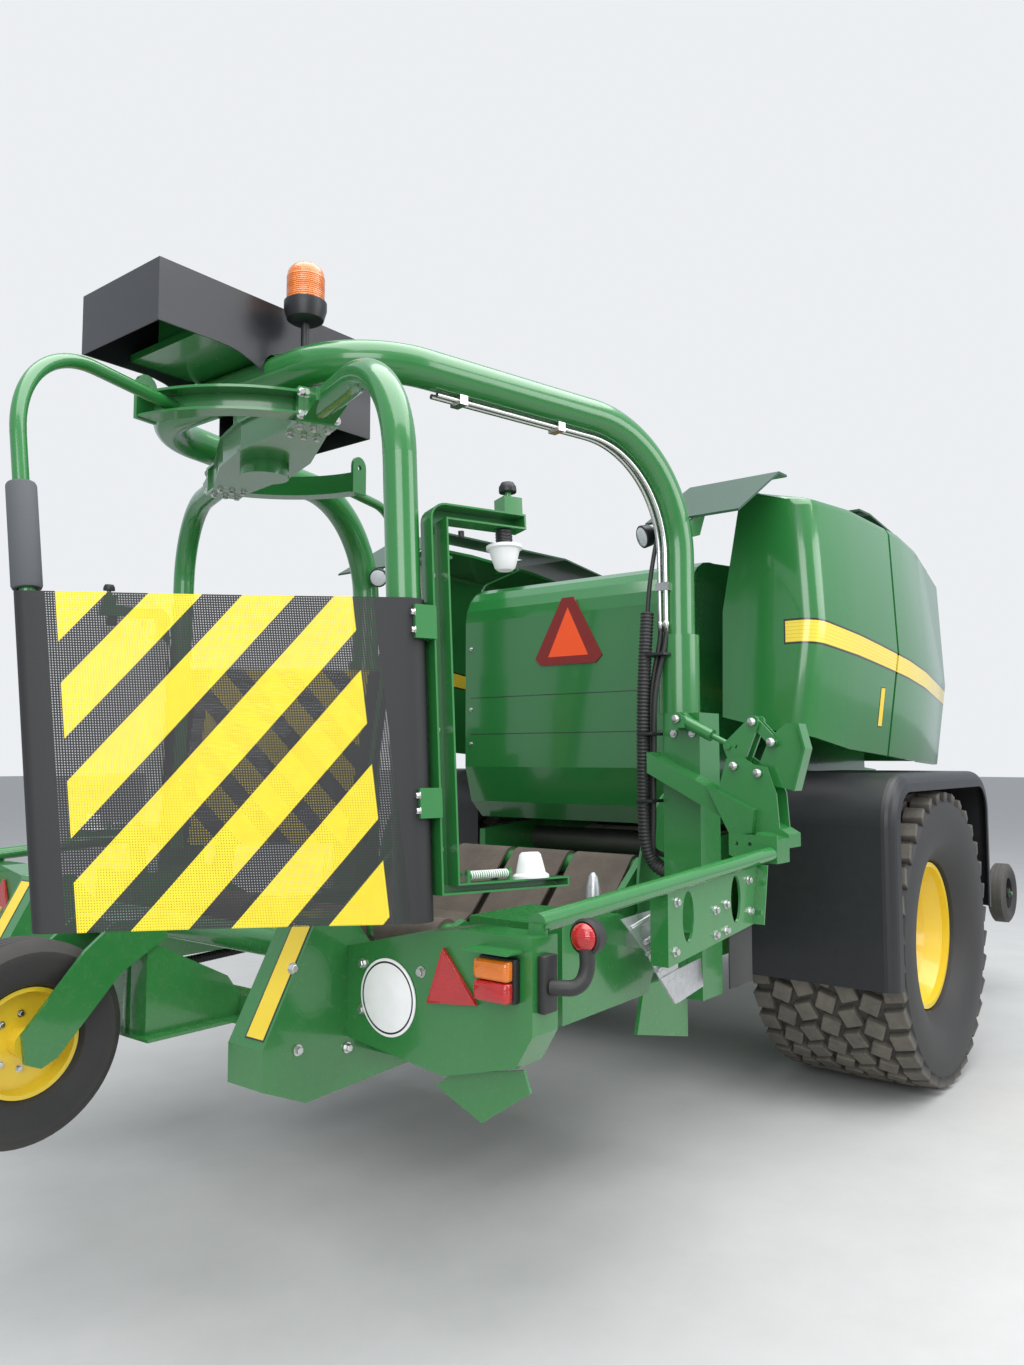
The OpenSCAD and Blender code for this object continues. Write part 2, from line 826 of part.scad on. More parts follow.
module side_rails() {
  color([0.11, 0.40, 0.16])
    both_sides() {
      bar([-3100, 1400, 1131], [-1792, 1400, 1200], 25);
      difference() {
        plate_xz([[-2480, 930], [-1935, 985], [-1900, 1175], [-2480, 1150]], 1396, 1404);
        for (x = [-2370, -2060])
          translate([x, 1400, 1060 + (x + 2370) * 0.06])
            scale([0.45, 1, 1])
              bar_y([0, 0], 75, -20, 20);
      }
      block([-3110, 1380, 1105], [-3085, 1420, 1131]);
      // folded edges, the rear one inwards and the front one outwards
      plate_xz([[-2488, 930], [-2480, 930], [-2480, 1150], [-2488, 1150]], 1345, 1404);
      plate_xz([[-1935, 985], [-1929, 984], [-1894, 1174], [-1900, 1175]], 1396, 1440);
      block([-2300, 1220, 960], [-2260, 1396, 1000]);
    }
}

module film_chute() {
  out = -1330;
  color([0.70, 0.71, 0.72]) {
    plate_xz([[-2620, 1075], [-2310, 1088], [-2302, 865], [-2326, 790], [-2412, 877], [-2480, 960]], out, out + 4);
    // ribs rolled into the sheet
    for (rib = [[-2571, 1043, -2330, 1090], [-2493, 995, -2330, 1028], [-2477, 959, -2330, 984], [-2430, 905, -2318, 918]])
      bar([rib[0], out + 2, rib[1]], [rib[2], out + 2, rib[3]], 9);
    // folded lip and lower plate
    plate_xz([[-2412, 877], [-2326, 790], [-2306, 790], [-2150, 812], [-2165, 900], [-2306, 890]], out - 3, out + 1);
    block([-2420, out, 960], [-2380, -1220, 1000]);
  }
}

// Linkage beside each post, with every point given by its Y and Z
outrigger_arm = [[856, 1470], [1380, 1205], [1425, 1215], [1425, 1262], [1397, 1278], [856, 1549]];
crank_pivot = [1221, 1498];
crank_top = [1286, 1656];
crank_rear = [1190, 1570];
link_end = [1358, 1583];
post_pivot = [1314, 1473];
cylinder_rear = [980, 1674];

module outriggers() {
  back = column_x - post_side;
  color([0.11, 0.40, 0.16])
    both_sides() {
      // arm on the post's rear face, its gusset and the bracket of the side rail
      plate_yz(outrigger_arm, back - 100, back);
      plate_yz([[1123, 1429], [1216, 1252], [1300, 1262], [1310, 1344]], back - 132, back - 98);
      plate_yz([[1340, 1175], [1425, 1168], [1425, 1250], [1345, 1270]], back - 190, back - 98);
      difference() {
        plate_yz([[1246, 1190], [1300, 1168], [1425, 1168], [1425, 1262], [1246, 1262]], back - 200, back - 188);
        for (y = [1275, 1325])
          bar([back - 201, y, 1230], [back - 187, y, 1230], 7);
      }
      // cheeks of the two pivots
      for (x = [back - 98, back - 12])
        plate_yz([[1150, 1392], [1390, 1272], [1380, 1400], [1345, 1495], [1290, 1505], [1255, 1530],
          [1190, 1525]], x, x + 8);
      // two crank plates, two link straps and the post that they turn
      for (x = [back - 80, back - 30])
        translate([x, 0, 0]) {
          strap(crank_pivot, crank_top, 24, 10);
          strap(crank_pivot, crank_rear, 22, 10);
          strap(crank_rear, crank_top, 20, 10);
        }
      for (x = [back - 68, back - 40])
        translate([x, 0, 0])
          strap(crank_top, link_end, 18, 8);
      plate_yz([[1296, 1450], [1363, 1425], [1433, 1412], [1475, 1560], [1452, 1645], [1405, 1650],
        [1340, 1600], [1292, 1490]], back - 58, back - 44);
      plate_yz([[1433, 1412], [1441, 1412], [1483, 1560], [1460, 1647], [1452, 1645], [1475, 1560]],
        back - 82, back - 20);
      for (c = [crank_pivot, post_pivot])
        pin_x(c, 14, back - 106, back + 4);
      for (c = [crank_top, crank_rear, link_end])
        pin_x(c, 12, back - 88, back - 12);
      // cylinder from its bracket on the post to the crank
      plate_yz([[940, 1632], [985, 1632], [985, 1642], [940, 1642]], back - 90, back);
      for (x = [back - 84, back - 26])
        plate_yz([[945, 1640], [1010, 1640], [1012, 1680], [980, 1702], [948, 1680]], x, x + 10);
      pin_x(cylinder_rear, 14, back - 92, back - 8);
      cylinder_x(back - 51);
    }
}

// Pin along X through a point given by its Y and Z
module pin_x(c, r, x0, x1) {
  bar([x0, c.x, c.y], [x1, c.x, c.y], r);
}

// Flat strap with round ends between two points in Y and Z
module strap(a, b, r, t) {
  turn = atan2(b.y - a.y, b.x - a.x);
  plate_yz(concat(arc(b, r, turn - 90, turn + 90, 6), arc(a, r, turn + 90, turn + 270, 6)), 0, t);
}

module cylinder_x(x) {
  a = [x, cylinder_rear.x, cylinder_rear.y];
  b = [x, crank_rear.x, crank_rear.y];
  bar(a, a + (b - a) * 0.62, 24);
  bar(a + (b - a) * 0.6, b, 11);
  pin_x(cylinder_rear, 26, x - 14, x + 14);
  pin_x(crank_rear, 20, x - 12, x + 12);
}

module rear_fork() {
  fork_y = rear_wheel_w / 2 + 20;
  color([0.11, 0.40, 0.16]) {
    translate([-3290, 0, 690])
      cylinder(h = 340, r = 45);
    // box arm that tapers towards the frame
    plate_xz([[-3330, 699], [-2990 - seat, 699], [-2990 - seat, 760], [-3040, 830], [-3330, 980]], -105, 105);
    plate_xz([[-3350, 690], [-2990 - seat, 690], [-2990 - seat, 700], [-3350, 700]], -150, 150);
    both_sides()
      plate_xz([[-3695, 700], [-3650, 680], [-3605, 700], [-3420, 900], [-3270, 985], [-3270, 1050],
        [-3440, 1050], [-3530, 980], [-3705, 780]], fork_y, fork_y + 15);
    plate_xz([[-3440, 1010], [-3270, 1010], [-3270, 1050], [-3440, 1050]], -fork_y - 5, fork_y + 5);
    bar_y(rear_hub, 14, -fork_y - 10, fork_y + 10);
  }
}

rear_hub = [-3660, 740];

module rear_tyre() {
  color([0.08, 0.08, 0.08])
    translate([rear_hub.x, 0, rear_hub.y])
      tyre_ring(rear_wheel_d / 2, rear_wheel_d * 0.27, rear_wheel_w / 2, rear_wheel_w * 0.32, 30);
}

module rear_rim() {
  r = rear_wheel_d * 0.27 - seat;
  color([0.93, 0.72, 0.06])
    translate([rear_hub.x, 0, rear_hub.y])
      rotate([-90, 0, 0])
        rotate_extrude()
          polygon([
            [14 + fit, -60], [40, -60], [40, -10], [r - 20, -10], [r - 12, -50], [r, -50],
            [r, 50], [r - 12, 50], [r - 20, 10], [40, 10], [40, 60], [14 + fit, 60]
          ]);
}

// Wrapping rotor, drawn with its axis at the origin and its first arm along +X

beam_z = beam_top - 55;
beam_end = 520;
beam_half_h = 55;
flange_half = 66;
flange_t = 12;
arm_lean = 4.5;
arm_foot = arm_reach + (beam_z - guard_z) * tan(arm_lean);

// Outline of half the beam from above, wide at the hub
beam_plan = [
  [-20, -130], [110, -130], [430, -flange_half], [beam_end, -flange_half],
  [beam_end, flange_half], [430, flange_half], [110, 130], [-20, 130]
];

// Curved channels that carry the guard tubes
channel_r = 480;
channel_d = 70;
channel_half = 38;
channel_t = 8;
channel_end = -62;
lug_rim = 4;
lug_top = hoop_z - hoop_r - 19;

module two_fold() {
  for (turn = [0, 180])
    translate([rotor_x, 0, 0])
      rotate([0, 0, arm_angle + turn])
        children();
}

module rotor_beam() {
  color([0.10, 0.35, 0.14]) {
    two_fold() {
      // closed box between two wider flanges
      translate([0, 0, beam_z - beam_half_h])
        linear_extrude(height = 2 * beam_half_h)
          polygon(inset(beam_plan, 12));
      for (z = [beam_z - beam_half_h, beam_top - 10])
        translate([0, 0, z])
          linear_extrude(height = 10)
            polygon(beam_plan);
      block([beam_end - flange_t, -flange_half, beam_z - beam_half_h], [beam_end, flange_half, beam_top]);
      // curved channel, notched round the arm's flange
      difference() {
        rotate([0, 0, channel_end])
          rotate_extrude(angle = -5 - channel_end)
            translate([channel_r, beam_z])
              channel_section();
        block([beam_end - 2, -flange_half - 4, beam_z - channel_half - 5],
          [beam_end + 60, 0, beam_z + channel_half + 5]);
      }
      guard_lug();
    }
    translate([rotor_x, 0, beam_top - 1])
      cylinder(h = deck_z - beam_top + 12, r = shaft_r);
    translate([rotor_x, 0, deck_z + seat])
      cylinder(h = 12, r = 70);
    // round housing of the turning joint under the beam
    translate([rotor_x, 0, beam_z - beam_half_h - 45])
      cylinder(h = 50, r = 85);
  }
}

// Channel open outwards: depth from its web, then height about the beam's middle
module channel_section() {
  difference() {
    translate([0, -channel_half])
      square([channel_d, 2 * channel_half]);
    translate([channel_t, channel_t - channel_half])
      square([channel_d, 2 * (channel_half - channel_t)]);
  }
}

// Upright lug with a rounded top and a pin hole that closes the channel's free end
module guard_lug() {
  up = lug_top - beam_z;
  difference() {
    rotate([0, 0, channel_end - 1.2])
      rotate_extrude(angle = 1.4)
        translate([channel_r, beam_z])
          polygon(concat(
            [[-lug_rim, -channel_half - lug_rim], [channel_d + lug_rim, -channel_half - lug_rim]],
            arc([channel_d / 2, up - channel_d / 2], channel_d / 2 + lug_rim, 0, 180, 8)
          ));
    rotate([0, 0, channel_end])
      bar([channel_r + channel_d / 2, -30, lug_top - 40], [channel_r + channel_d / 2, 30, lug_top - 40], 11);
  }
}

module rotor_arms() {
  color([0.11, 0.40, 0.16])
    two_fold() {
      bent_tube([[beam_end + 2, 0, beam_z], [arm_reach, 0, beam_z], [arm_foot, 0, guard_z]], [330], arm_r);
      // flange bolted to the beam, with its gusset
      block([beam_end, -flange_half, beam_z - beam_half_h], [beam_end + flange_t, flange_half, beam_top]);
      plate_xz([[beam_end + 5, beam_z - 50], [beam_end + 5, beam_z + 50], [beam_end + 120, beam_z + 20],
        [beam_end + 120, beam_z - 20]], -50, 50);
    }
}

module guard_tubes() {
  color([0.11, 0.40, 0.16])
    two_fold()
      bent_tube([
        polar(channel_r + channel_t + 2 * seat, -52, beam_z), polar(1110, -52, beam_z), polar(1215, -40, guard_z)
      ], [300], guard_r);
}

// Point on the arm tube and on the guard tube at a height
function arm_at(z) = [arm_reach + (beam_z - z) * tan(arm_lean), 0, z];
function guard_at(z) =
  let (t = (beam_z - z) / (beam_z - guard_z))
  polar(1110, -52, beam_z) * (1 - t) + polar(1215, -40, guard_z) * t;

module guard_nets() {
  color([0.12, 0.12, 0.12])
    two_fold()
      difference() {
        union() {
          net_sheet();
          bar(guard_at(net_z), guard_at(guard_z), guard_r + 8);
          bar(arm_at(net_z), arm_at(guard_z + 10), arm_r + 8);
        }
        bar(guard_at(net_z + 20), guard_at(guard_z - 20), guard_r + seat);
        bar(arm_at(net_z + 20), arm_at(guard_z - 20), arm_r + seat);
      }
}

module net_sheet() {
  rings = [
    for (z = [guard_z + 5, net_z])
      let (
        a = arm_at(z),
        g = guard_at(z),
        along = unit(g - a),
        side = [-along.y, along.x, 0],
        p = a - side * (arm_r - net_t),
        q = g - side * (guard_r - net_t)
      )
      [p, p - side * net_t, q - side * net_t, q]
  ];
  loft(rings);
}

// Film unit beside each arm: a pressed C frame, two stretch rollers and the cones that hold
// a roll of film. Its own X runs outwards, its Y along the turn and its Z up the leaning arm.

film_low = 1190;
film_top = 2180;
sleeve_r = arm_r + 8;
pan_in = sleeve_r + 4;
pan_w = 50;
pan_t = 5;
pan_back = -5;
pan_front = 55;
pan_mid = (pan_back + pan_front) / 2;
low_h = 26;
low_reach = 430;
top_h = 42;
top_reach = 345;
stretch_r = 28;
stretch_y = pan_in + pan_w / 2 + 28;
cone_low_y = 331;
cone_top_y = 291;

// Height along the leaning arm of a height above the ground
function up_arm(z) = (z - guard_z) / cos(arm_lean);

module along_arm() {
  translate(arm_at(guard_z))
    rotate([0, -arm_lean, 0])
      children();
}

pan_low = up_arm(film_low);
pan_top = up_arm(film_top);
pan_outline = concat(
  [
    [pan_in, pan_low], [low_reach, pan_low], [low_reach, pan_low + low_h],
    [pan_in + pan_w, pan_low + low_h], [pan_in + pan_w, pan_top - top_h],
    [top_reach, pan_top - top_h], [top_reach, pan_top]
  ],
  arc([pan_in + 45, pan_top - 45], 45, 90, 180, 6)
);
roller_z = [up_arm(1240), up_arm(2050)];
clip_z = [[up_arm(1377), up_arm(1450)], [up_arm(1820), up_arm(1905)]];

module film_frames() {
  color([0.11, 0.40, 0.16])
    two_fold()
      along_arm() {
        // pressed pan, open outwards
        difference() {
          plate_yz(pan_outline, pan_back, pan_front);
          plate_yz(inset(pan_outline, pan_t), pan_back + pan_t, pan_front + 1);
        }
        // plates that carry the stretch rollers
        for (z = [roller_z[0] - 8, roller_z[1]])
          block([-132, stretch_y - 34, z], [pan_back + 4, stretch_y + 36, z + 8]);
        // clips round the arm's sleeve
        difference() {
          for (c = clip_z)
            block([-sleeve_r - 12, 0, c[0]], [sleeve_r + 12, pan_in + 3, c[1]]);
          translate([0, 0, clip_z[0][0] - 10])
            cylinder(h = clip_z[1][1] - clip_z[0][0] + 20, r = sleeve_r + seat);
        }
        // boss and knob of the upper cone
        block([pan_back + 3, cone_top_y - 10, pan_top - 4], [pan_front - 3, cone_top_y + 46, pan_top + 46]);
        translate([pan_mid, cone_top_y + 18, pan_top + 40])
          cylinder(h = 30, r = 9);
        translate([pan_mid, cone_top_y + 18, pan_top + 66])
          cylinder(h = 26, r1 = 22, r2 = 17);
        // tension spring between two lugs
        for (y = [140, 262])
          block([pan_mid - 8, y, pan_low + low_h - 3], [pan_mid + 8, y + 8, pan_low + low_h + 30]);
        bar([pan_mid, 144, pan_low + low_h + 17], [pan_mid, 266, pan_low + low_h + 17], 9);
      }
}

module film_rollers() {
  span = roller_z[1] - roller_z[0];
  color([0.82, 0.82, 0.82])
    two_fold()
      along_arm() {
        // stretch rollers with a journal at each end
        for (x = [-40, -98])
          translate([x, stretch_y, roller_z[0]])
            rotate_extrude()
              polygon([[0, 0], [14, 0], [14, 12], [stretch_r, 18], [stretch_r, span - 18],
                [14, span - 12], [14, span], [0, span]]);
        // cone on the lower arm
        translate([pan_mid, cone_low_y, pan_low + low_h])
          rotate_extrude()
            polygon([[0, 0], [48, 0], [48, 8], [40, 12], [28, 62], [14, 68], [0, 68]]);
        // cone under the upper arm, on its ribbed neck
        translate([pan_mid, cone_top_y, pan_top - top_h])
          rotate_extrude()
            polygon([[0, 0], [0, -112], [14, -112], [28, -106], [40, -58], [49, -54], [49, -46], [20, -42], [20, 0]]);
      }
}

// Wrapping table

table_front = [-1420, 1070];
table_rear = [-2580, 950];
table_pivot = [-1650, 760];
table_half = 700;

module table_frame() {
  color([0.10, 0.35, 0.14]) {
    both_sides() {
      plate_xz([
        [-1370, 1070], [-1400, 1130], [-1470, 1120], [-1880, 800], [-2150, 780],
        [-2560, 1005], [-2630, 980], [-2630, 900], [-2180, 640], [-1900, 620],
        [-1690, 700], [-1615, 720], [-1605, 800], [-1600, 860], [-1370, 1000]
      ], table_half - 30, table_half);
      bar_y(table_pivot, 25, table_half - 1, table_half + 40);
      bar_y([-2000, 690], 25, -table_half + 29, table_half - 29);
    }
    for (c = [table_front, table_rear])
      bar_y(c, table_roller_r - belt_t - seat, -table_half + 29, table_half - 29);
  }
}

belt_pitch = (2 * table_half - 90) / belt_count;

// Closed belt: over both rollers, sagging between them
function belt_outline(r) = concat(
  arc(table_front, r, -47, 135, 20),
  [[-1700, 860 + r - 55], [-1900, 760 + r - 55], [-2080, 755 + r - 55], [-2300, 850 + r - 55]],
  arc(table_rear, r, 64, 240, 20),
  [[-2260, 705 - r + 55], [-2000, 615 - r + 55], [-1750, 700 - r + 55]]
);

module table_belts() {
  color([0.25, 0.23, 0.21])
    for (i = [0:belt_count - 1])
      difference() {
        y0 = -table_half + 45 + i * belt_pitch + 20;
        plate_xz(belt_outline(table_roller_r), y0, y0 + belt_pitch - 40);
        plate_xz(belt_outline(table_roller_r - belt_t), y0 - 1, y0 + belt_pitch - 39);
      }
}

// Drawbar, input shaft and jack

eye_x = eye_front_x - 55;
jack_x = 2900;
drawbar_half = 105;
bar_low = 700;
bar_high = 880;

module drawbar() {
  color([0.10, 0.35, 0.14])
    difference() {
      union() {
        both_sides()
          loft([
            [[1720, 200, 1000], [1720, 345, 1000], [1720, 345, 1195], [1720, 200, 1195]],
            [[2900, 0, bar_low], [2900, drawbar_half, bar_low], [2900, drawbar_half, bar_high], [2900, 0, bar_high]]
          ]);
        block([2880, -drawbar_half, bar_low], [3300, drawbar_half, bar_high]);
        loft([
          [[3300, -drawbar_half, bar_low], [3300, drawbar_half, bar_low],
            [3300, drawbar_half, bar_high], [3300, -drawbar_half, bar_high]],
          [[eye_x - 30, -40, eye_z - 20], [eye_x - 30, 40, eye_z - 20],
            [eye_x - 30, 40, eye_z + 20], [eye_x - 30, -40, eye_z + 20]]
        ]);
        translate([eye_x, 0, eye_z - 22])
          cylinder(h = 44, r = 55);
        // input housing and shaft
        block([1720, -130, 1180], [2050, 130, 1420]);
        translate([2050, 0, 1300])
          rotate([0, 90, 0])
            cylinder(h = 60, r = 60);
        translate([2110, 0, 1300])
          rotate([0, 90, 0])
            cylinder(h = 100, r = input_r);
      }
      translate([eye_x, 0, eye_z - 30])
        cylinder(h = 60, r = eye_bore_r);
    }
}

jack_y = 145;
jack_travel = 300;
jack_tube_r = 38;

module jack_sleeve() {
  color([0.10, 0.10, 0.10])
    difference() {
      union() {
        translate([jack_x + 100, jack_y, 500])
          cylinder(h = 520, r = jack_tube_r);
        block([jack_x + 60, drawbar_half, 740], [jack_x + 140, jack_y, 840]);
      }
      translate([jack_x + 100, jack_y, 499])
        cylinder(h = 505, r = 30 + fit);
    }
}

module jack_leg() {
  color([0.65, 0.65, 0.65]) {
    translate([jack_x + 100, jack_y, 12])
      cylinder(h = jack_travel + 600, r = 30);
    translate([jack_x + 100, jack_y, 0])
      cylinder(h = 12, r = 90);
  }
}

// Pickup

lift_pin = [1350, 860];
reel_c = [2050, 620];
reel_half = 1060;
gauge_c = [2350, 630];
reel_pin_r = 20;
tine_count = floor((2 * reel_half - 80) / tine_pitch);

press_c = [2335, 725];
band_r = 185;
band_t = 6;
band_rear = [1800, 480];

function tine_y(i) = (i - tine_count / 2) * tine_pitch;

module pickup_frame() {
  color([0.10, 0.35, 0.14]) {
    both_sides() {
      plate_xz([
        [1310, 820], [1390, 810], [1750, 540], [1770, 455], [1840, 445], [2060, 470], [2160, 620], [2080, 760],
        [1900, 780], [1390, 910], [1310, 900]
      ], reel_half + 1, reel_half + 9);
      bar_y(lift_pin, 30, rail_y + 10, reel_half + 5);
      bar_y(reel_c, reel_pin_r, reel_half - 30, reel_half + 5);
      plate_xz([[2000, 560], [2080, 560], [2390, 600], [2390, 660], [2060, 680]], reel_half + 8, reel_half + 20);
      bar_y(gauge_c, 12, reel_half + 15, reel_half + 150);
      // arm of the crop roller
      plate_xz([[2030, 700], [2070, 755], [2330, 770], [2375, 725], [2335, 685]], reel_half - 11, reel_half + 2);
    }
    bar_y([1775, 760], 40, -reel_half - 5, reel_half + 5);
    bar_y(band_rear, 15, -reel_half - 5, reel_half + 5);
    bar_y(press_c, 45, -reel_half + 5, reel_half - 5);
    // bands between the rows of tines
    for (i = [0:tine_count - 1])
      translate([0, (tine_y(i) + tine_y(i + 1)) / 2, 0])
        pickup_band(tine_pitch - 50);
  }
}

module pickup_band(wide) {
  translate([reel_c.x, 0, reel_c.y])
    rotate([90, 0, 0])
      rotate([0, 0, -98])
        rotate_extrude(angle = 191)
          translate([band_r, -wide / 2])
            square([band_t, wide]);
  // straight strips from the ends of the arc to the two cross tubes
  strip = band_t - 2;
  side = wide / 2 - 1;
  top = reel_c + (band_r + 1) * [cos(90), sin(90)];
  low = reel_c + (band_r + 1) * [cos(-95), sin(-95)];
  plate_xz([top, top + [0, strip], [1785, 798], [1785, 798 - strip]], -side, side);
  plate_xz([low, band_rear + [0, -4], band_rear + [0, -4 - strip], low - [0, strip]], -side, side);
}

module pickup_reel() {
  tips = 245;
  bars = 5;
  color([0.35, 0.35, 0.33])
    translate([reel_c.x, 0, reel_c.y]) {
      difference() {
        bar_y([0, 0], 55, -reel_half + 1, reel_half - 1);
        for (side = [-1, 1])
          bar_y([0, 0], reel_pin_r + fit, side * reel_half - 32, side * reel_half + 32);
      }
      for (b = [0:bars - 1])
        rotate([0, 360 / bars * b, 0])
          for (i = [0:tine_count])
            translate([0, tine_y(i), 0])
              rotate([0, 8, 0])
                cylinder(h = tips, r = 3.5);
    }
}

module gauge_wheel() {
  color([0.08, 0.08, 0.08])
    translate([gauge_c.x, reel_half + 90, gauge_c.y]) {
      tyre_ring(gauge_d / 2, gauge_d * 0.26, 55, 35, 25);
      rotate([-90, 0, 0])
        rotate_extrude()
          polygon([
            [12 + fit, -45], [30, -45], [30, -8], [gauge_d * 0.26 + 2, -8],
            [gauge_d * 0.26 + 2, 8], [30, 8], [30, 45], [12 + fit, 45]
          ]);
    }
}

chassis();
axle();
chamber();
chamber_walls();
chamber_rollers();
gear_case();
roof();
side_panels();
panel_arms();
hoop();
posts();
drive_cover();
rotor_drive();
beacon();
hoop_pipes();
fender(560);  // fender_left
mirror([0, 1, 0]) fender(560);  // fender_right
wrap_frame();
lamp_boards();
rear_lamps();
side_rails();
film_chute();
outriggers();
drawbar();
jack_sleeve();
rear_fork();
main_tyre();  // tyre_left
main_rim();  // rim_left
mirror([0, 1, 0]) main_tyre();  // tyre_right
mirror([0, 1, 0]) main_rim();  // rim_right
rotor_beam();
rotor_arms();
guard_tubes();
guard_nets();
film_frames();
film_rollers();
tailgate();
tailgate_walls();
tailgate_rollers();
tailgate_sign();
door();  // door_left
mirror([0, 1, 0]) door();  // door_right
pickup_frame();
pickup_reel();
gauge_wheel();  // gauge_wheel_left
mirror([0, 1, 0]) gauge_wheel();  // gauge_wheel_right
table_frame();
table_belts();
rear_tyre();
rear_rim();
jack_leg();
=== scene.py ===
import json
import math

import bmesh
import bpy
from mathutils import Matrix, Vector


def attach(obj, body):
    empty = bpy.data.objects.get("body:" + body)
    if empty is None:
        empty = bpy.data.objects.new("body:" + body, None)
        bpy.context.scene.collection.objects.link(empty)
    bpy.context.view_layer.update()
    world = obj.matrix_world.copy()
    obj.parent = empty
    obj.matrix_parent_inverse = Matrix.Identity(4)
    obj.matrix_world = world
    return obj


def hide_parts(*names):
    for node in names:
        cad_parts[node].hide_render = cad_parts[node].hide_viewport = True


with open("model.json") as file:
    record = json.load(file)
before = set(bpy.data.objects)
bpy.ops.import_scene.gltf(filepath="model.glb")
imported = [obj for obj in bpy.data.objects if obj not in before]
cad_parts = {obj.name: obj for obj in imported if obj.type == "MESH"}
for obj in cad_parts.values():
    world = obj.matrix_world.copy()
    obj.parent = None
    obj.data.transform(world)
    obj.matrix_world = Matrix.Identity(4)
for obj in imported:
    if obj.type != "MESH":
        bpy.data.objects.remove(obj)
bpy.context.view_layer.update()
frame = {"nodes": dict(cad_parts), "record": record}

nodes = frame["nodes"]
world_scene = bpy.context.scene

# Camera at the photograph's place: right rear corner, a little under eye height
YAW = math.radians(38.6)
PITCH = math.radians(4.16)
look = Vector((math.cos(YAW) * math.cos(PITCH), math.sin(YAW) * math.cos(PITCH), math.sin(PITCH)))
eye = bpy.data.cameras.new("eye")
eye.lens = 27.03
eye.sensor_width = 36
eye.clip_end = 200
camera = bpy.data.objects.new("camera", eye)
camera.location = (-5.09, -2.91, 1.53)
camera.rotation_euler = look.to_track_quat("-Z", "Y").to_euler()
world_scene.collection.objects.link(camera)
world_scene.camera = camera
world_scene.view_settings.view_transform = "Standard"

# Places that the pieces share with the frame, in metres
AXLE_Z = 0.69
WHEEL_Y = 1.12
REAR_HUB = Vector((-3.66, 0, 0.74))
GAUGE_HUB = Vector((2.35, 1.15, 0.63))
ROTOR_X = -2.85
ARM_ANGLE = math.radians(-110)
BEAM_Z = 2.615
GUARD_Z = 1.13
NET_Z = 1.93
ARM_R = 0.0445
ARM_LEAN = math.radians(4.5)
GUARD_R = 0.02
BOARD_X = -3.16
HOOP_Z = 2.8


# Shader helpers

class Wiring:
    """Adds nodes to one node tree and links them."""

    def __init__(self, tree):
        self.tree = tree

    def add(self, kind, inputs=(), **settings):
        node = self.tree.nodes.new(kind)
        for key, value in settings.items():
            setattr(node, key, value)
        for name, value in dict(inputs).items():
            self.feed(node, name, value)
        return node

    def feed(self, node, name, value):
        socket = node.inputs[name]
        if isinstance(value, bpy.types.NodeSocket):
            self.tree.links.new(value, socket)
        else:
            socket.default_value = value

    def math(self, operation, a, b=0.0, clamp=False):
        return self.add("ShaderNodeMath", {0: a, 1: b}, operation=operation, use_clamp=clamp).outputs[0]

    def plus(self, a, b, clamp=False):
        return self.math("ADD", a, b, clamp)

    def minus(self, a, b):
        return self.math("SUBTRACT", a, b)

    def times(self, a, b, clamp=False):
        return self.math("MULTIPLY", a, b, clamp)

    def over(self, a, b):
        return self.math("GREATER_THAN", a, b)

    def under(self, a, b):
        return self.math("LESS_THAN", a, b)

    def length(self, a, b):
        return self.math("SQRT", self.plus(self.times(a, a), self.times(b, b)))

    def spot(self):
        return self.add("ShaderNodeTexCoord").outputs["Object"]

    def split(self, vector):
        return self.add("ShaderNodeSeparateXYZ", {0: vector}).outputs

    def grey(self, tone):
        return self.add("ShaderNodeCombineColor", {0: tone, 1: tone, 2: tone}).outputs[0]

    def mix(self, factor, a, b):
        node = self.add("ShaderNodeMix", data_type="RGBA")
        for index, value in ((0, factor), (6, a), (7, b)):
            self.feed(node, index, value)
        return node.outputs[2]

    def ramp(self, value, low, high, to_low=0.0, to_high=1.0):
        return self.add("ShaderNodeMapRange", {"Value": value, "From Min": low, "From Max": high,
                                               "To Min": to_low, "To Max": to_high}).outputs["Result"]

    def noise(self, vector, scale, detail, rough=0.5):
        return self.add("ShaderNodeTexNoise", {"Vector": vector, "Scale": scale, "Detail": detail,
                                               "Roughness": rough}).outputs["Fac"]

    def bump(self, shader, height, strength, distance):
        lift = self.add("ShaderNodeBump", {"Height": height, "Strength": strength, "Distance": distance})
        self.feed(shader, "Normal", lift.outputs[0])


def new_group(name, inputs, outputs):
    """Node group with named sockets; returns the group and its wiring."""
    group = bpy.data.node_groups.new(name, "ShaderNodeTree")
    for label, kind, value in inputs:
        socket = group.interface.new_socket(label, in_out="INPUT", socket_type=kind)
        if value is not None:
            socket.default_value = value
    for label, kind in outputs:
        group.interface.new_socket(label, in_out="OUTPUT", socket_type=kind)
    return group, Wiring(group)


FLOAT, COLOUR = "NodeSocketFloat", "NodeSocketColor"

# Height above which paint stays clean, and below which it takes all its dust
CLEAN_Z = 1.5
DUSTY_Z = 0.25


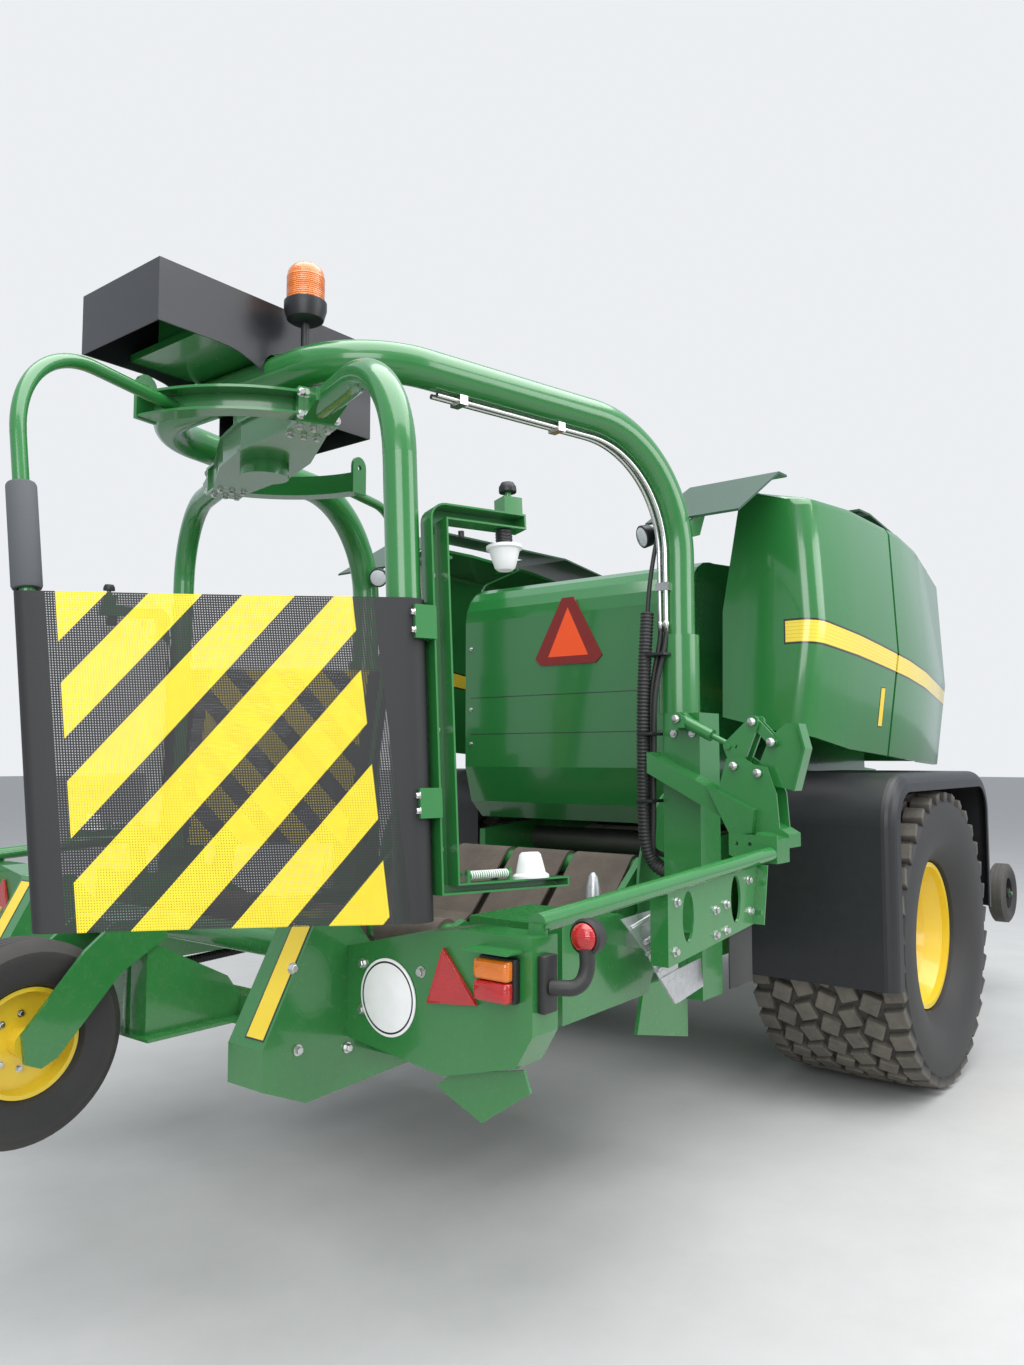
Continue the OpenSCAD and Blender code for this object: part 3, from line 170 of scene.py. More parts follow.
def weather_group():
    """Paint or plastic out of doors: faint tone changes, dust on low places, fine ripple."""
    group, w = new_group(
        "weather",
        [("Colour", COLOUR, None), ("Dust Colour", COLOUR, None), ("Dust", FLOAT, 0.2), ("Tone", FLOAT, 0.1),
         ("Roughness", FLOAT, 0.3)],
        [("Colour", COLOUR), ("Roughness", FLOAT), ("Height", FLOAT)])
    given = w.add("NodeGroupInput").outputs
    spot = w.spot()
    high = w.split(spot)[2]
    broad = w.noise(spot, 1.7, 3)
    fine = w.noise(spot, 38, 5, 0.65)
    grain = w.noise(spot, 220, 2)
    tone = w.times(w.minus(broad, 0.5), given["Tone"])
    bright = w.add("ShaderNodeHueSaturation", {"Color": given["Colour"], "Value": w.plus(tone, 1.0)})
    low = w.ramp(high, CLEAN_Z, DUSTY_Z, 0.25, 1.0)
    patch = w.math("POWER", w.times(fine, w.plus(broad, 0.45)), 2.2)
    dust = w.times(w.times(patch, low), given["Dust"], clamp=True)
    colour = w.mix(dust, bright.outputs[0], given["Dust Colour"])
    rough = w.plus(given["Roughness"], w.times(dust, 0.6), clamp=True)
    rough = w.plus(rough, w.times(w.minus(fine, 0.5), 0.12), clamp=True)
    height = w.plus(w.times(fine, 0.4), w.times(grain, 0.2))
    w.add("NodeGroupOutput", {"Colour": colour, "Roughness": rough, "Height": height})
    return group


WEATHER = weather_group()
DUST = (0.33, 0.30, 0.25, 1)


def rgba(colour):
    return (*colour, 1.0)


def new_material(name):
    material = bpy.data.materials.new(name)
    material.use_nodes = True
    wiring = Wiring(material.node_tree)
    return material, wiring, material.node_tree.nodes["Principled BSDF"]


def weathered(name, colour, rough, dust=0.25, tone=0.16, coat=0.0, metal=0.0, bump=0.02, recolour=None):
    """Material whose colour and gloss pass through the weather group."""
    material, w, shader = new_material(name)
    base = recolour(w, rgba(colour)) if recolour else rgba(colour)
    wear = w.add("ShaderNodeGroup", {"Colour": base, "Dust Colour": DUST, "Dust": dust, "Tone": tone,
                                     "Roughness": rough}, node_tree=WEATHER)
    w.feed(shader, "Base Color", wear.outputs["Colour"])
    w.feed(shader, "Roughness", wear.outputs["Roughness"])
    w.feed(shader, "Metallic", metal)
    w.feed(shader, "Coat Weight", coat)
    w.feed(shader, "Coat Roughness", 0.08)
    w.bump(shader, wear.outputs["Height"], bump, 0.004)
    return material


# Yellow stripe along both sides: its middle line falls and its width shrinks towards the front
STRIPE_START_Y = 1.118
STRIPE_Z = 1.958
STRIPE_FALL = 0.117
STRIPE_CURVE = 0.016
STRIPE_HALF = 0.039
STRIPE_TAPER = 0.006
STRIPE_BORDER = 0.009
STRIPE_END_BORDER = 0.007


def stripe_on_panel(w, panel):
    """The stripe, with fine darker lines along it and a black border, over the panel's own colour."""
    x, y, z = w.split(w.spot())
    fall = w.times(x, w.plus(STRIPE_FALL, w.times(x, STRIPE_CURVE)))
    above = w.minus(z, w.minus(STRIPE_Z, fall))
    half = w.minus(STRIPE_HALF, w.times(x, STRIPE_TAPER))
    off = w.math("ABSOLUTE", above)
    side = w.math("ABSOLUTE", y)
    border = w.times(w.under(off, w.plus(half, STRIPE_BORDER)), w.over(side, STRIPE_START_Y))
    inside = w.times(w.under(off, half), w.over(side, STRIPE_START_Y + STRIPE_END_BORDER))
    lines = w.over(w.math("SINE", w.times(w.math("DIVIDE", above, half), 18.0)), 0.93)
    stripe = w.mix(w.times(lines, 0.55), (0.84, 0.64, 0.05, 1), (0.35, 0.26, 0.02, 1))
    return w.mix(inside, w.mix(border, panel, (0.012, 0.012, 0.012, 1)), stripe)


# Warning triangle on the tailgate: its base, its tip and how a flank lies across and up
TRIANGLE_BASE_Z = 1.985
TRIANGLE_TIP_Z = 2.355
FLANK_ACROSS = 0.894
FLANK_UP = 0.447
TRIANGLE_BORDER = 0.040


def warning_rings(w, sheet):
    """Deep red border round the fluorescent middle of the warning triangle."""
    x, y, z = w.split(w.spot())
    slope = w.times(w.math("ABSOLUTE", y), FLANK_ACROSS)
    flank = w.minus(w.times(w.minus(TRIANGLE_TIP_Z, z), FLANK_UP), slope)
    edge = w.math("MINIMUM", flank, w.minus(z, TRIANGLE_BASE_Z))
    return w.mix(w.over(edge, TRIANGLE_BORDER), (0.19, 0.012, 0.010, 1), sheet)


green = weathered("green gloss paint", (0.020, 0.175, 0.036), 0.24, dust=0.18, coat=0.6)
striped = weathered("green panel paint with stripe", (0.019, 0.165, 0.034), 0.22, dust=0.12, coat=0.7,
                    recolour=stripe_on_panel)
gate_green = weathered("green tailgate paint", (0.016, 0.150, 0.032), 0.2, dust=0.12, coat=0.8)
dark_green = weathered("dark green paint", (0.010, 0.055, 0.024), 0.36, dust=0.2, coat=0.2)
yellow = weathered("yellow rim paint", (0.82, 0.58, 0.025), 0.3, dust=0.25, coat=0.4)
decal_yellow = weathered("yellow decal", (0.85, 0.62, 0.03), 0.35, dust=0.05, coat=0.3)
black_plastic = weathered("black moulded plastic", (0.011, 0.012, 0.014), 0.42, dust=0.05, tone=0.3,
                          bump=0.06)
# dark charcoal cover paint; the faint blue in its colour is a painted sheen
black_paint = weathered("black cover paint with painted blue sheen", (0.020, 0.021, 0.025), 0.33, dust=0.08, tone=0.2, coat=0.2)
steel = weathered("bright steel", (0.62, 0.62, 0.61), 0.28, dust=0.15, metal=1.0, tone=0.2)
dark_steel = weathered("dull steel", (0.20, 0.19, 0.18), 0.5, dust=0.45, metal=0.8, tone=0.5)
rubber = weathered("black hose rubber", (0.018, 0.018, 0.018), 0.5, dust=0.12, tone=0.3, bump=0.05)
foam = weathered("grey foam sleeve", (0.085, 0.09, 0.098), 0.85, dust=0.1, tone=0.4, bump=0.35)
white_plastic = weathered("white plastic", (0.74, 0.75, 0.74), 0.35, dust=0.2)
orange = weathered("fluorescent orange sheet", (0.85, 0.085, 0.012), 0.38, dust=0.03, tone=0.06,
                   recolour=warning_rings)


def lens_material(name, colour):
    """Coloured clear plastic with fine moulded ribs."""
    material, w, shader = new_material(name)
    spot = w.spot()
    ribs = w.add("ShaderNodeTexWave", {"Vector": spot, "Scale": 55.0, "Distortion": 0.4}, bands_direction="Z")
    depth = w.times(w.noise(spot, 24, 2), 0.6)
    w.feed(shader, "Base Color", w.mix(depth, rgba(colour), rgba([c * 0.45 for c in colour])))
    w.feed(shader, "Roughness", 0.08)
    w.feed(shader, "Coat Weight", 0.8)
    w.bump(shader, ribs.outputs["Fac"], 0.25, 0.002)
    return material


red_lens = lens_material("red lens", (0.50, 0.008, 0.010))
amber_lens = lens_material("amber lens", (0.80, 0.19, 0.006))
clear_lens = lens_material("clear lamp glass", (0.72, 0.75, 0.78))


def tyre_material(name, hub, outer, dusty):
    """Rubber that is dark on the side wall and carries road dust on the tread."""
    material, w, shader = new_material(name)
    spot = w.spot()
    x, y, z = w.split(spot)
    radius = w.length(w.minus(x, hub.x), w.minus(z, hub.z))
    tread = w.ramp(radius, outer - 0.055, outer - 0.004)
    speck = w.noise(spot, 26, 5, 0.7)
    broad = w.noise(spot, 5, 3)
    amount = w.times(w.plus(w.times(tread, dusty), 0.06), w.plus(w.times(speck, 0.8), w.times(broad, 0.7)),
                     clamp=True)
    w.feed(shader, "Base Color", w.mix(amount, (0.017, 0.017, 0.018, 1), (0.19, 0.17, 0.14, 1)))
    w.feed(shader, "Roughness", w.ramp(amount, 0.0, 0.6, 0.55, 0.9))
    w.bump(shader, w.noise(spot, 160, 4), 0.12, 0.003)
    return material


def galvanised_material():
    """Zinc sheet: spangles that differ in tone, with broad duller streaks."""
    material, w, shader = new_material("galvanised sheet")
    spot = w.spot()
    spangle = w.add("ShaderNodeTexVoronoi", {"Vector": spot, "Scale": 70.0})
    tone = w.ramp(spangle.outputs["Color"], 0.0, 1.0, 0.42, 0.68)
    streak = w.noise(spot, 6, 4)
    w.feed(shader, "Base Color", w.mix(streak, w.grey(tone), (0.50, 0.52, 0.54, 1)))
    w.feed(shader, "Metallic", 0.85)
    w.feed(shader, "Roughness", w.ramp(streak, 0.3, 0.7, 0.22, 0.42))
    return material


def belt_material():
    """Worn brown-grey belting with a fine raised grip."""
    material, w, shader = new_material("worn belt")
    spot = w.spot()
    worn = w.noise(spot, 7, 5, 0.6)
    grip = w.add("ShaderNodeTexVoronoi", {"Vector": spot, "Scale": 90.0}, feature="F1")
    w.feed(shader, "Base Color", w.mix(worn, (0.035, 0.028, 0.022, 1), (0.15, 0.12, 0.095, 1)))
    w.feed(shader, "Roughness", 0.8)
    w.bump(shader, grip.outputs["Distance"], 0.3, 0.003)
    return material


def sign_face_material(centre, radius):
    """White disc with a thin black ring inside its edge."""
    material, w, shader = new_material("white sign sheet")
    spot = w.spot()
    x, y, z = w.split(spot)
    far = w.length(w.minus(w.math("ABSOLUTE", y), abs(centre.y)), w.minus(z, centre.z))
    ring = w.times(w.over(far, radius - 0.012), w.under(far, radius - 0.007))
    white = w.grey(w.ramp(w.noise(spot, 20, 4), 0.3, 0.7, 0.84, 0.90))
    w.feed(shader, "Base Color", w.mix(ring, white, (0.01, 0.01, 0.01, 1)))
    w.feed(shader, "Roughness", 0.35)
    return material


# Net cloth, in metres along (u) and up (v): mesh size, strand share, slanted bands, printed field and hems
CELL = 0.0062
STRAND = 0.62
COATED_STRAND = 0.74
BAND_U = -0.719
BAND_V = 0.695
BAND_OFFSET = 2.049
BAND_PITCH = 0.160
BAND_SHARE = 0.57
FIELD_START = 0.163
FIELD_END = 0.868
HEM_START = 0.14
HEM_END = 0.92


def net_material():
    """Open coated mesh: black strands, yellow where the slanted bands run, holes between."""
    material, w, shader = new_material("safety net cloth")
    uv = w.add("ShaderNodeUVMap", uv_map="cloth").outputs[0]
    u, v = w.split(uv)[:2]
    across, up = (w.math("FRACT", w.math("DIVIDE", way, CELL)) for way in (u, v))
    strands = [w.under(across, STRAND), w.under(up, STRAND)]
    slant = w.plus(w.times(u, BAND_U), w.times(v, BAND_V))
    band = w.math("FRACT", w.math("DIVIDE", w.plus(slant, BAND_OFFSET), BAND_PITCH))
    field = w.times(w.over(u, FIELD_START), w.under(u, FIELD_END))
    on_band = w.times(w.under(band, BAND_SHARE), field)
    hem = w.math("MAXIMUM", w.under(u, HEM_START), w.over(u, HEM_END))
    bright = w.mix(w.noise(uv, 30, 3), (0.86, 0.68, 0.02, 1), (0.70, 0.53, 0.02, 1))
    w.feed(shader, "Base Color", w.mix(on_band, (0.016, 0.016, 0.017, 1), bright))
    filled = w.math("MAXIMUM", w.times(on_band, w.under(across, COATED_STRAND)), hem)
    w.feed(shader, "Alpha", w.math("MAXIMUM", w.math("MAXIMUM", *strands), filled))
    w.feed(shader, "Roughness", 0.62)
    w.bump(shader, w.plus(*strands), 0.2, 0.001)
    return material


galvanised = galvanised_material()
belting = belt_material()
net_cloth = net_material()
main_rubber = tyre_material("main tyre rubber", Vector((0, 0, AXLE_Z)), 0.69, 1.0)
rear_rubber = tyre_material("rear tyre rubber", REAR_HUB, 0.28, 0.15)
gauge_rubber = tyre_material("gauge tyre rubber", GAUGE_HUB, 0.19, 0.3)

slot_material = {
    "green_paint": green, "dark_green_paint": dark_green, "yellow_paint": yellow,
    "black_plastic": black_plastic, "black_paint": black_paint, "tyre_rubber": main_rubber,
    "belt_rubber": belting, "bright_steel": steel, "galvanised": galvanised, "net_cloth": net_cloth,
    "sign_orange": orange, "lamp_red": red_lens, "beacon_amber": amber_lens,
}
own_material = {
    "tailgate": gate_green, "tailgate_walls": gate_green, "chamber_rollers": dark_steel,
    "tailgate_rollers": dark_steel, "pickup_reel": dark_steel, "gauge_wheel_left": gauge_rubber,
    "gauge_wheel_right": gauge_rubber, "hoop_pipes": steel,
}
for row in frame["record"]["subparts"]:
    name = row["node"]
    mesh = nodes[name].data
    mesh.materials.clear()
    mesh.materials.append(own_material.get(name, slot_material[row["material_slot"]]))


# Shaping helpers

def select_only(piece):
    if bpy.context.mode != "OBJECT":
        bpy.ops.object.mode_set(mode="OBJECT")
    bpy.ops.object.select_all(action="DESELECT")
    piece.select_set(True)
    bpy.context.view_layer.objects.active = piece


def place_in_mesh(piece):
    select_only(piece)
    bpy.ops.object.transform_apply(location=True, rotation=True, scale=True)


def linked(name, data):
    piece = bpy.data.objects.new(name, data)
    world_scene.collection.objects.link(piece)
    return piece


def from_points(name, points, faces, edges=()):
    mesh = bpy.data.meshes.new(name)
    mesh.from_pydata(points, edges, faces)
    return linked(name, mesh)


def from_live(name, live):
    """Piece out of a finished bmesh, which is freed."""
    mesh = bpy.data.meshes.new(name)
    live.to_mesh(mesh)
    live.free()
    return linked(name, mesh)


def apply_modifier(piece, kind, **settings):
    select_only(piece)
    modifier = piece.modifiers.new(kind.lower(), kind)
    for key, value in settings.items():
        setattr(modifier, key, value)
    bpy.ops.object.modifier_apply(modifier=modifier.name)


def pick_faces(piece, test):
    """Enters edit mode on the piece with only the faces selected that pass the test."""
    select_only(piece)
    bpy.ops.object.mode_set(mode="EDIT")
    bpy.ops.mesh.select_mode(type="FACE")
    bpy.ops.mesh.select_all(action="DESELECT")
    live = bmesh.from_edit_mesh(piece.data)
    for face in live.faces:
        face.select_set(test(face))
    bmesh.update_edit_mesh(piece.data)


def leave_edit():
    bpy.ops.object.mode_set(mode="OBJECT")


def face_outwards(piece, weld=0.0):
    """Turns all faces outwards, after points closer than the weld are merged."""
    select_only(piece)
    bpy.ops.object.mode_set(mode="EDIT")
    bpy.ops.mesh.select_all(action="SELECT")
    if weld:
        bpy.ops.mesh.remove_doubles(threshold=weld)
    bpy.ops.mesh.normals_make_consistent(inside=False)
    leave_edit()


def smooth(piece, degrees=35):
    select_only(piece)
    bpy.ops.object.shade_smooth_by_angle(angle=math.radians(degrees))


def started(name):
    """The piece that an operator has just made, under its name."""
    piece = bpy.context.active_object
    piece.name = name
    piece.data.name = name
    return piece


def box_start(name, low, high):
    low, high = Vector(low), Vector(high)
    bpy.ops.object.select_all(action="DESELECT")
    bpy.ops.mesh.primitive_cube_add(size=1, location=(low + high) / 2)
    piece = started(name)
    piece.scale = high - low
    place_in_mesh(piece)
    return piece


def rounded_box(name, low, high, edge):
    piece = box_start(name, low, high)
    apply_modifier(piece, "BEVEL", width=edge, segments=2)
    smooth(piece)
    return piece


def lathe(name, outline, steps):
    """Closed ring through (radius, distance) points, turned round the X axis of its own origin."""
    count = len(outline)
    edges = [(i, (i + 1) % count) for i in range(count)]
    piece = from_points(name, [(x, 0, r) for r, x in outline], [], edges)
    apply_modifier(piece, "SCREW", axis="X", steps=steps, render_steps=steps, use_merge_vertices=True,
                   merge_threshold=1e-5, use_smooth_shade=True)
    face_outwards(piece, weld=1e-5)
    return piece


def along(point, direction, roll=0.0):
    """Matrix that puts a piece made along +X at a point, facing a direction."""
    turn = Vector(direction).to_track_quat("X", "Z").to_matrix().to_4x4()
    return Matrix.Translation(point) @ turn @ Matrix.Rotation(roll, 4, "X")


def turned(name, outline, steps, place, direction, crease=None):
    """Lathe piece that stands at its place; a crease angle gives its shading when it stays single."""
    piece = lathe(name, outline, steps)
    piece.data.transform(along(place, direction))
    if crease:
        smooth(piece, crease)
    return piece


def pipe(name, points, radius, sides, smooth_path=True):
    """Round tube along points; a smooth path runs through them in one curve."""
    curve = bpy.data.curves.new(name, "CURVE")
    curve.dimensions = "3D"
    curve.bevel_depth = radius
    curve.bevel_resolution = max(1, sides // 4)
    curve.use_fill_caps = True
    if smooth_path:
        spline = curve.splines.new("BEZIER")
        spline.bezier_points.add(len(points) - 1)
        for knot, point in zip(spline.bezier_points, points):
            knot.co = point
            knot.handle_left_type = knot.handle_right_type = "AUTO"
        spline.resolution_u = 8
    else:
        spline = curve.splines.new("POLY")
        spline.points.add(len(points) - 1)
        for knot, point in zip(spline.points, points):
            knot.co = (*point, 1)
    piece = linked(name, curve)
    select_only(piece)
    bpy.ops.object.convert(target="MESH")
    piece = started(name)
    smooth(piece, 50)
    return piece


def spring(name, start, end, radius, wire, turns):
    """Coil between two points."""
    start, end = Vector(start), Vector(end)
    way = end - start
    turn = way.to_track_quat("X", "Z")
    points = []
    steps = 12
    for i in range(turns * steps + 1):
        a = 2 * math.pi * i / steps
        off = Vector((way.length * i / (turns * steps), radius * math.cos(a), radius * math.sin(a)))
        points.append(start + turn @ off)
    return pipe(name, points, wire, 6, smooth_path=False)


def stamp(name, master, placements):
    """One piece out of copies of a master mesh, each with its own place."""
    joined = bmesh.new()
    for matrix in placements:
        copy = master.data.copy()
        copy.transform(matrix)
        joined.from_mesh(copy)
        bpy.data.meshes.remove(copy)
    return from_live(name, joined)


def join(name, parts):
    bpy.ops.object.select_all(action="DESELECT")
    for part in parts:
        part.select_set(True)
    bpy.context.view_layer.objects.active = parts[0]
    bpy.ops.object.join()
    return started(name)


def mirrored(piece, name):
    """The same piece on the left side of the machine."""
    copy = linked(name, piece.data.copy())
    copy.data.name = name
    copy.data.transform(Matrix.Scale(-1, 4, (0, 1, 0)))
    copy.data.flip_normals()
    return copy


def finish_piece(piece, body, slot, *materials):
    """Gives a piece its finish and the body it rides on; the slot is not used."""
    piece.data.materials.clear()
    for material in materials:
        piece.data.materials.append(material)
    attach(piece, body)
    return piece


def right_and_left(piece, body, slot, material):
    """Finishes a piece of the right side together with its mirror image on the left."""
    for half in (piece, mirrored(piece, piece.name + "_left")):
        finish_piece(half, body, slot, material)


SIDES = ((-1, "right"), (1, "left"))
FRONT = Vector((1, 0, 0))
BACK = Vector((-1, 0, 0))
OUT = Vector((0, -1, 0))
UP = Vector((0, 0, 1))


# Main tyres: carcass and staggered tread blocks

BLOCK_DEPTH = 0.036
BLOCK_ROOT = 0.03
SHOULDER_Y = 0.25
SHOULDER_LEAN = 0.12
PITCHES = 34
tyre_section = [
    (0.345, -0.247), (0.352, -0.272), (0.385, -0.300), (0.440, -0.334), (0.510, -0.352), (0.580, -0.353),
    (0.625, -0.346), (0.646, -0.325), (0.653, -0.280), (0.655, -0.130), (0.655, 0.0),
]
tyre_section += [(r, -x) for r, x in reversed(tyre_section[:-1])]

# Tread rows: distance from the middle, length round the tyre, width, top radius, slant, share of a pitch
half_rows = [(0.302, 0.092, 0.094, 0.678, 8, 0.25), (0.199, 0.098, 0.088, 0.686, -20, 0.75),
             (0.100, 0.098, 0.086, 0.688, 20, 0.1)]
middle_row = (0.0, 0.098, 0.086, 0.689, -20, 0.6)
tread_rows = [(-row[0], *row[1:]) for row in half_rows] + [middle_row] + half_rows[::-1]


def tread_block(long, wide, top, slant):
    """Block of tread: narrower at its top, with broken edges; its top faces +Z."""
    foot = top - BLOCK_DEPTH - BLOCK_ROOT
    block = box_start("block", (-long / 2, -wide / 2, foot), (long / 2, wide / 2, top))
    pick_faces(block, lambda face: face.normal.z > 0.9)
    bpy.ops.transform.resize(value=(0.88, 0.92, 1), center_override=(0, 0, top))
    leave_edit()
    apply_modifier(block, "BEVEL", width=0.004, segments=1)
    block.data.transform(Matrix.Rotation(math.radians(slant), 4, "Z"))
    return block


def main_tyre(side, name):
    carcass = lathe("carcass", tyre_section, 96)
    carcass.data.transform(Matrix.Rotation(math.pi / 2, 4, "Z"))
    parts = [carcass]
    for across, long, wide, top, slant, shift in tread_rows:
        block = tread_block(long, wide, top, slant)
        lean = 0.0 if abs(across) < SHOULDER_Y else math.copysign(SHOULDER_LEAN, across)
        seat = (Matrix.Translation((0, across, top)) @ Matrix.Rotation(-lean, 4, "X")
                @ Matrix.Translation((0, 0, -top)))
        spots = [Matrix.Rotation(2 * math.pi * (i + shift) / PITCHES, 4, "Y") @ seat for i in range(PITCHES)]
        parts.append(stamp("row", block, spots))
        bpy.data.objects.remove(block)
    tyre = join("main_tyre_" + name, parts)
    tyre.data.transform(Matrix.Translation((0, side * WHEEL_Y, AXLE_Z)))
    smooth(tyre, 32)
    finish_piece(tyre, "wheel_" + name, "tyre_rubber", main_rubber)
    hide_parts("tyre_" + name)


main_tyre(1, "left")
main_tyre(-1, "right")


def ribbed_tyre(name, body, place, outer, bead, half, ribs, material):
    """Small tyre with grooves round its tread."""
    wall = [(bead, -half * 0.55), (bead + 0.012, -half * 0.8), ((bead + outer) / 2, -half),
            (outer - 0.03, -half * 0.97), (outer - 0.012, -half * 0.8)]
    outline = list(wall)
    step = half * 1.36 / ribs
    for i in range(ribs):
        left = -half * 0.68 + i * step
        outline += [(outer, left + step * 0.1), (outer, left + step * 0.9)]
        if i < ribs - 1:
            outline += [(outer - 0.007, left + step * 0.97), (outer - 0.007, left + step * 1.03)]
    outline += [(r, -x) for r, x in reversed(wall)]
    tyre = lathe(name, outline, 64)
    tyre.data.transform(Matrix.Translation(place) @ Matrix.Rotation(math.pi / 2, 4, "Z"))
    smooth(tyre, 30)
    return finish_piece(tyre, body, "tyre_rubber", material)


rear_tread = ribbed_tyre("rear_tyre_ribbed", "rear_wheel", REAR_HUB, 0.28, 0.1505, 0.08, 4, rear_rubber)
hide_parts("rear_tyre")
for side, name in reversed(SIDES):
    hub = (GAUGE_HUB.x, side * GAUGE_HUB.y, GAUGE_HUB.z)
    ribbed_tyre("gauge_tyre_" + name, "gauge_" + name, hub, 0.192, 0.10, 0.056, 3, gauge_rubber)


# Bolts and nuts

def cylinder_start(name, sides, radius, low, high):
    """Cylinder along +X between two distances."""
    bpy.ops.object.select_all(action="DESELECT")
    bpy.ops.mesh.primitive_cylinder_add(vertices=sides, radius=radius, depth=high - low,
                                        rotation=(0, math.pi / 2, 0), location=((low + high) / 2, 0, 0))
    piece = started(name)
    place_in_mesh(piece)
    return piece


def hex_master(name, across, high, washer):
    """Bolt head along +X on a round washer, its top edge turned off."""
    head = cylinder_start(name, 6, across / math.sqrt(3), washer, washer + high)
    pick_faces(head, lambda face: face.normal.x > 0.9)
    bpy.ops.mesh.inset(thickness=across * 0.08)
    bpy.ops.transform.translate(value=(high * 0.12, 0, 0))
    leave_edit()
    return join(name, [head, cylinder_start("washer", 14, across * 0.82, 0.0, washer)])


bolt = hex_master("bolt", 0.018, 0.010, 0.002)
small_bolt = hex_master("small_bolt", 0.013, 0.007, 0.0018)
wheel_nut = hex_master("wheel_nut", 0.030, 0.022, 0.003)

# chrome pin end: a low dome with a groove round it
pin = lathe("pin", [(0.0, 0.0), (0.016, 0.0), (0.016, 0.004), (0.013, 0.005), (0.013, 0.008), (0.009, 0.011),
                    (0.0, 0.012)], 24)

# bolts of the base frame: place and direction, right side; mirrored for the left
TOWER_Y = -0.801
RAIL_Y = -1.404
POST_X = -1.595
CHAMBER_Y = -0.67
right_bolts = [((x, TOWER_Y, z), OUT) for x, z in ((-3.352, 0.99), (-3.33, 0.78), (-3.16, 0.75))]
right_bolts += [((BOARD_X, y, z), BACK) for y, z in ((-0.86, 0.86), (-1.075, 0.985), (-0.86, 0.98))]
right_bolts += [((x, RAIL_Y, z), OUT) for x, z in (
    (-2.20, 1.06), (-2.20, 0.985), (-2.13, 1.07), (-2.13, 0.99), (-1.97, 1.13), (-1.96, 1.03), (-2.45, 0.97),
    (-2.44, 1.11))]
right_bolts += [((POST_X, y, z), BACK) for y, z in ((-0.92, 1.62), (-0.92, 1.45), (-1.0, 1.62))]
right_bolts += [((x, CHAMBER_Y, z), OUT) for x, z in ((-0.88, 1.02), (-0.70, 0.95), (-0.55, 1.05))]
right_pins = [
    ((-1.682, -0.98, 1.674), BACK), ((-1.678, -1.286, 1.656), BACK), ((-1.696, -1.221, 1.498), BACK),
    ((-1.678, -1.358, 1.583), BACK), ((-1.696, -1.314, 1.473), BACK),
]


def both(rows):
    """Each place and direction of the right side, followed by its mirror image on the left."""
    out = []
    for point, way in rows:
        out += [(Vector((point[0], side * point[1], point[2])), Vector((way.x, side * way.y, way.z)))
                for side in (1, -1)]
    return out


def circle(count, radius):
    """Angles round a bolt circle with the X and Z of each place."""
    angles = [2 * math.pi * i / count for i in range(count)]
    return [(a, radius * math.cos(a), radius * math.sin(a)) for a in angles]


frame_bolts = stamp("frame_bolts", bolt, [along(p, d, 0.3 * i) for i, (p, d) in enumerate(both(right_bolts))])
finish_piece(frame_bolts, "base_frame", "bright_steel", steel)
frame_pins = stamp("linkage_pins", pin, [along(p, d) for p, d in both(right_pins)])
smooth(frame_pins)
finish_piece(frame_pins, "base_frame", "bright_steel", steel)

cap_outline = [(0.0, 0.128), (0.083, 0.128), (0.083, 0.142), (0.070, 0.156), (0.030, 0.160), (0.0, 0.160)]
for side, name in reversed(SIDES):
    outwards = (0, side, 0)
    spots = [along((x, side * (WHEEL_Y + 0.072), AXLE_Z + z), outwards, a) for a, x, z in circle(10, 0.17)]
    nuts = stamp("nuts", wheel_nut, spots)
    cap = turned("hub_cap", cap_outline, 32, (0, side * WHEEL_Y, AXLE_Z), outwards)
    hub = join("hub_wheel_" + name, [nuts, cap])
    smooth(hub)
    finish_piece(hub, "wheel_" + name, "bright_steel", yellow)

spots = [along(REAR_HUB + Vector((x, side * 0.010, z)), (0, side, 0), a)
         for side in (1, -1) for a, x, z in circle(8, 0.075)]
finish_piece(stamp("rear_rim_bolts", small_bolt, spots), "rear_wheel", "bright_steel", steel)

for side, name in SIDES:
    spots = [along((x, side * 0.71, z), (0, side, 0)) for x, z in ((0.02, 2.36), (-0.2, 2.36), (-0.35, 2.3))]
    spots += [along((-1.0, side * 0.63, z), BACK) for z in (1.60, 1.78, 2.1)]
    finish_piece(stamp("tailgate_bolts_" + name, small_bolt, spots), "gate", "bright_steel", steel)


# Net guards between the arm tube and the guard tube

# The arm's reach at the beam; the guard tube's reach and angle at the beam and at its foot
ARM_REACH = 1.1
GUARD_TOP = (1.11, -52)
GUARD_FOOT = (1.215, -40)


def arm_point(z):
    """Middle of the arm tube at a height, in the rotor's own frame."""
    return Vector((ARM_REACH + (BEAM_Z - z) * math.tan(ARM_LEAN), 0, z))


def polar(radius, degrees, z):
    a = math.radians(degrees)
    return Vector((radius * math.cos(a), radius * math.sin(a), z))


def guard_point(z):
    """Middle of the guard tube at a height, in the rotor's own frame."""
    t = (BEAM_Z - z) / (BEAM_Z - GUARD_Z)
    return polar(*GUARD_TOP, BEAM_Z) * (1 - t) + polar(*GUARD_FOOT, GUARD_Z) * t


def rotor_place(turn):
    """Matrix from the rotor's own frame to its place; half a turn gives its other end."""
    return Matrix.Translation((ROTOR_X, 0, 0)) @ Matrix.Rotation(ARM_ANGLE + turn, 4, "Z")


# The net's cloth: how far it goes round each tube and stands off it, its sag and its mesh steps
WRAP = math.radians(175)
OFF_GUARD = GUARD_R + 0.010
OFF_ARM = ARM_R + 0.008
NET_SAG = 0.012
NET_HEM = 0.003
WRAP_STEPS = 10
SPAN_STEPS = 24
NET_LEVELS = 20


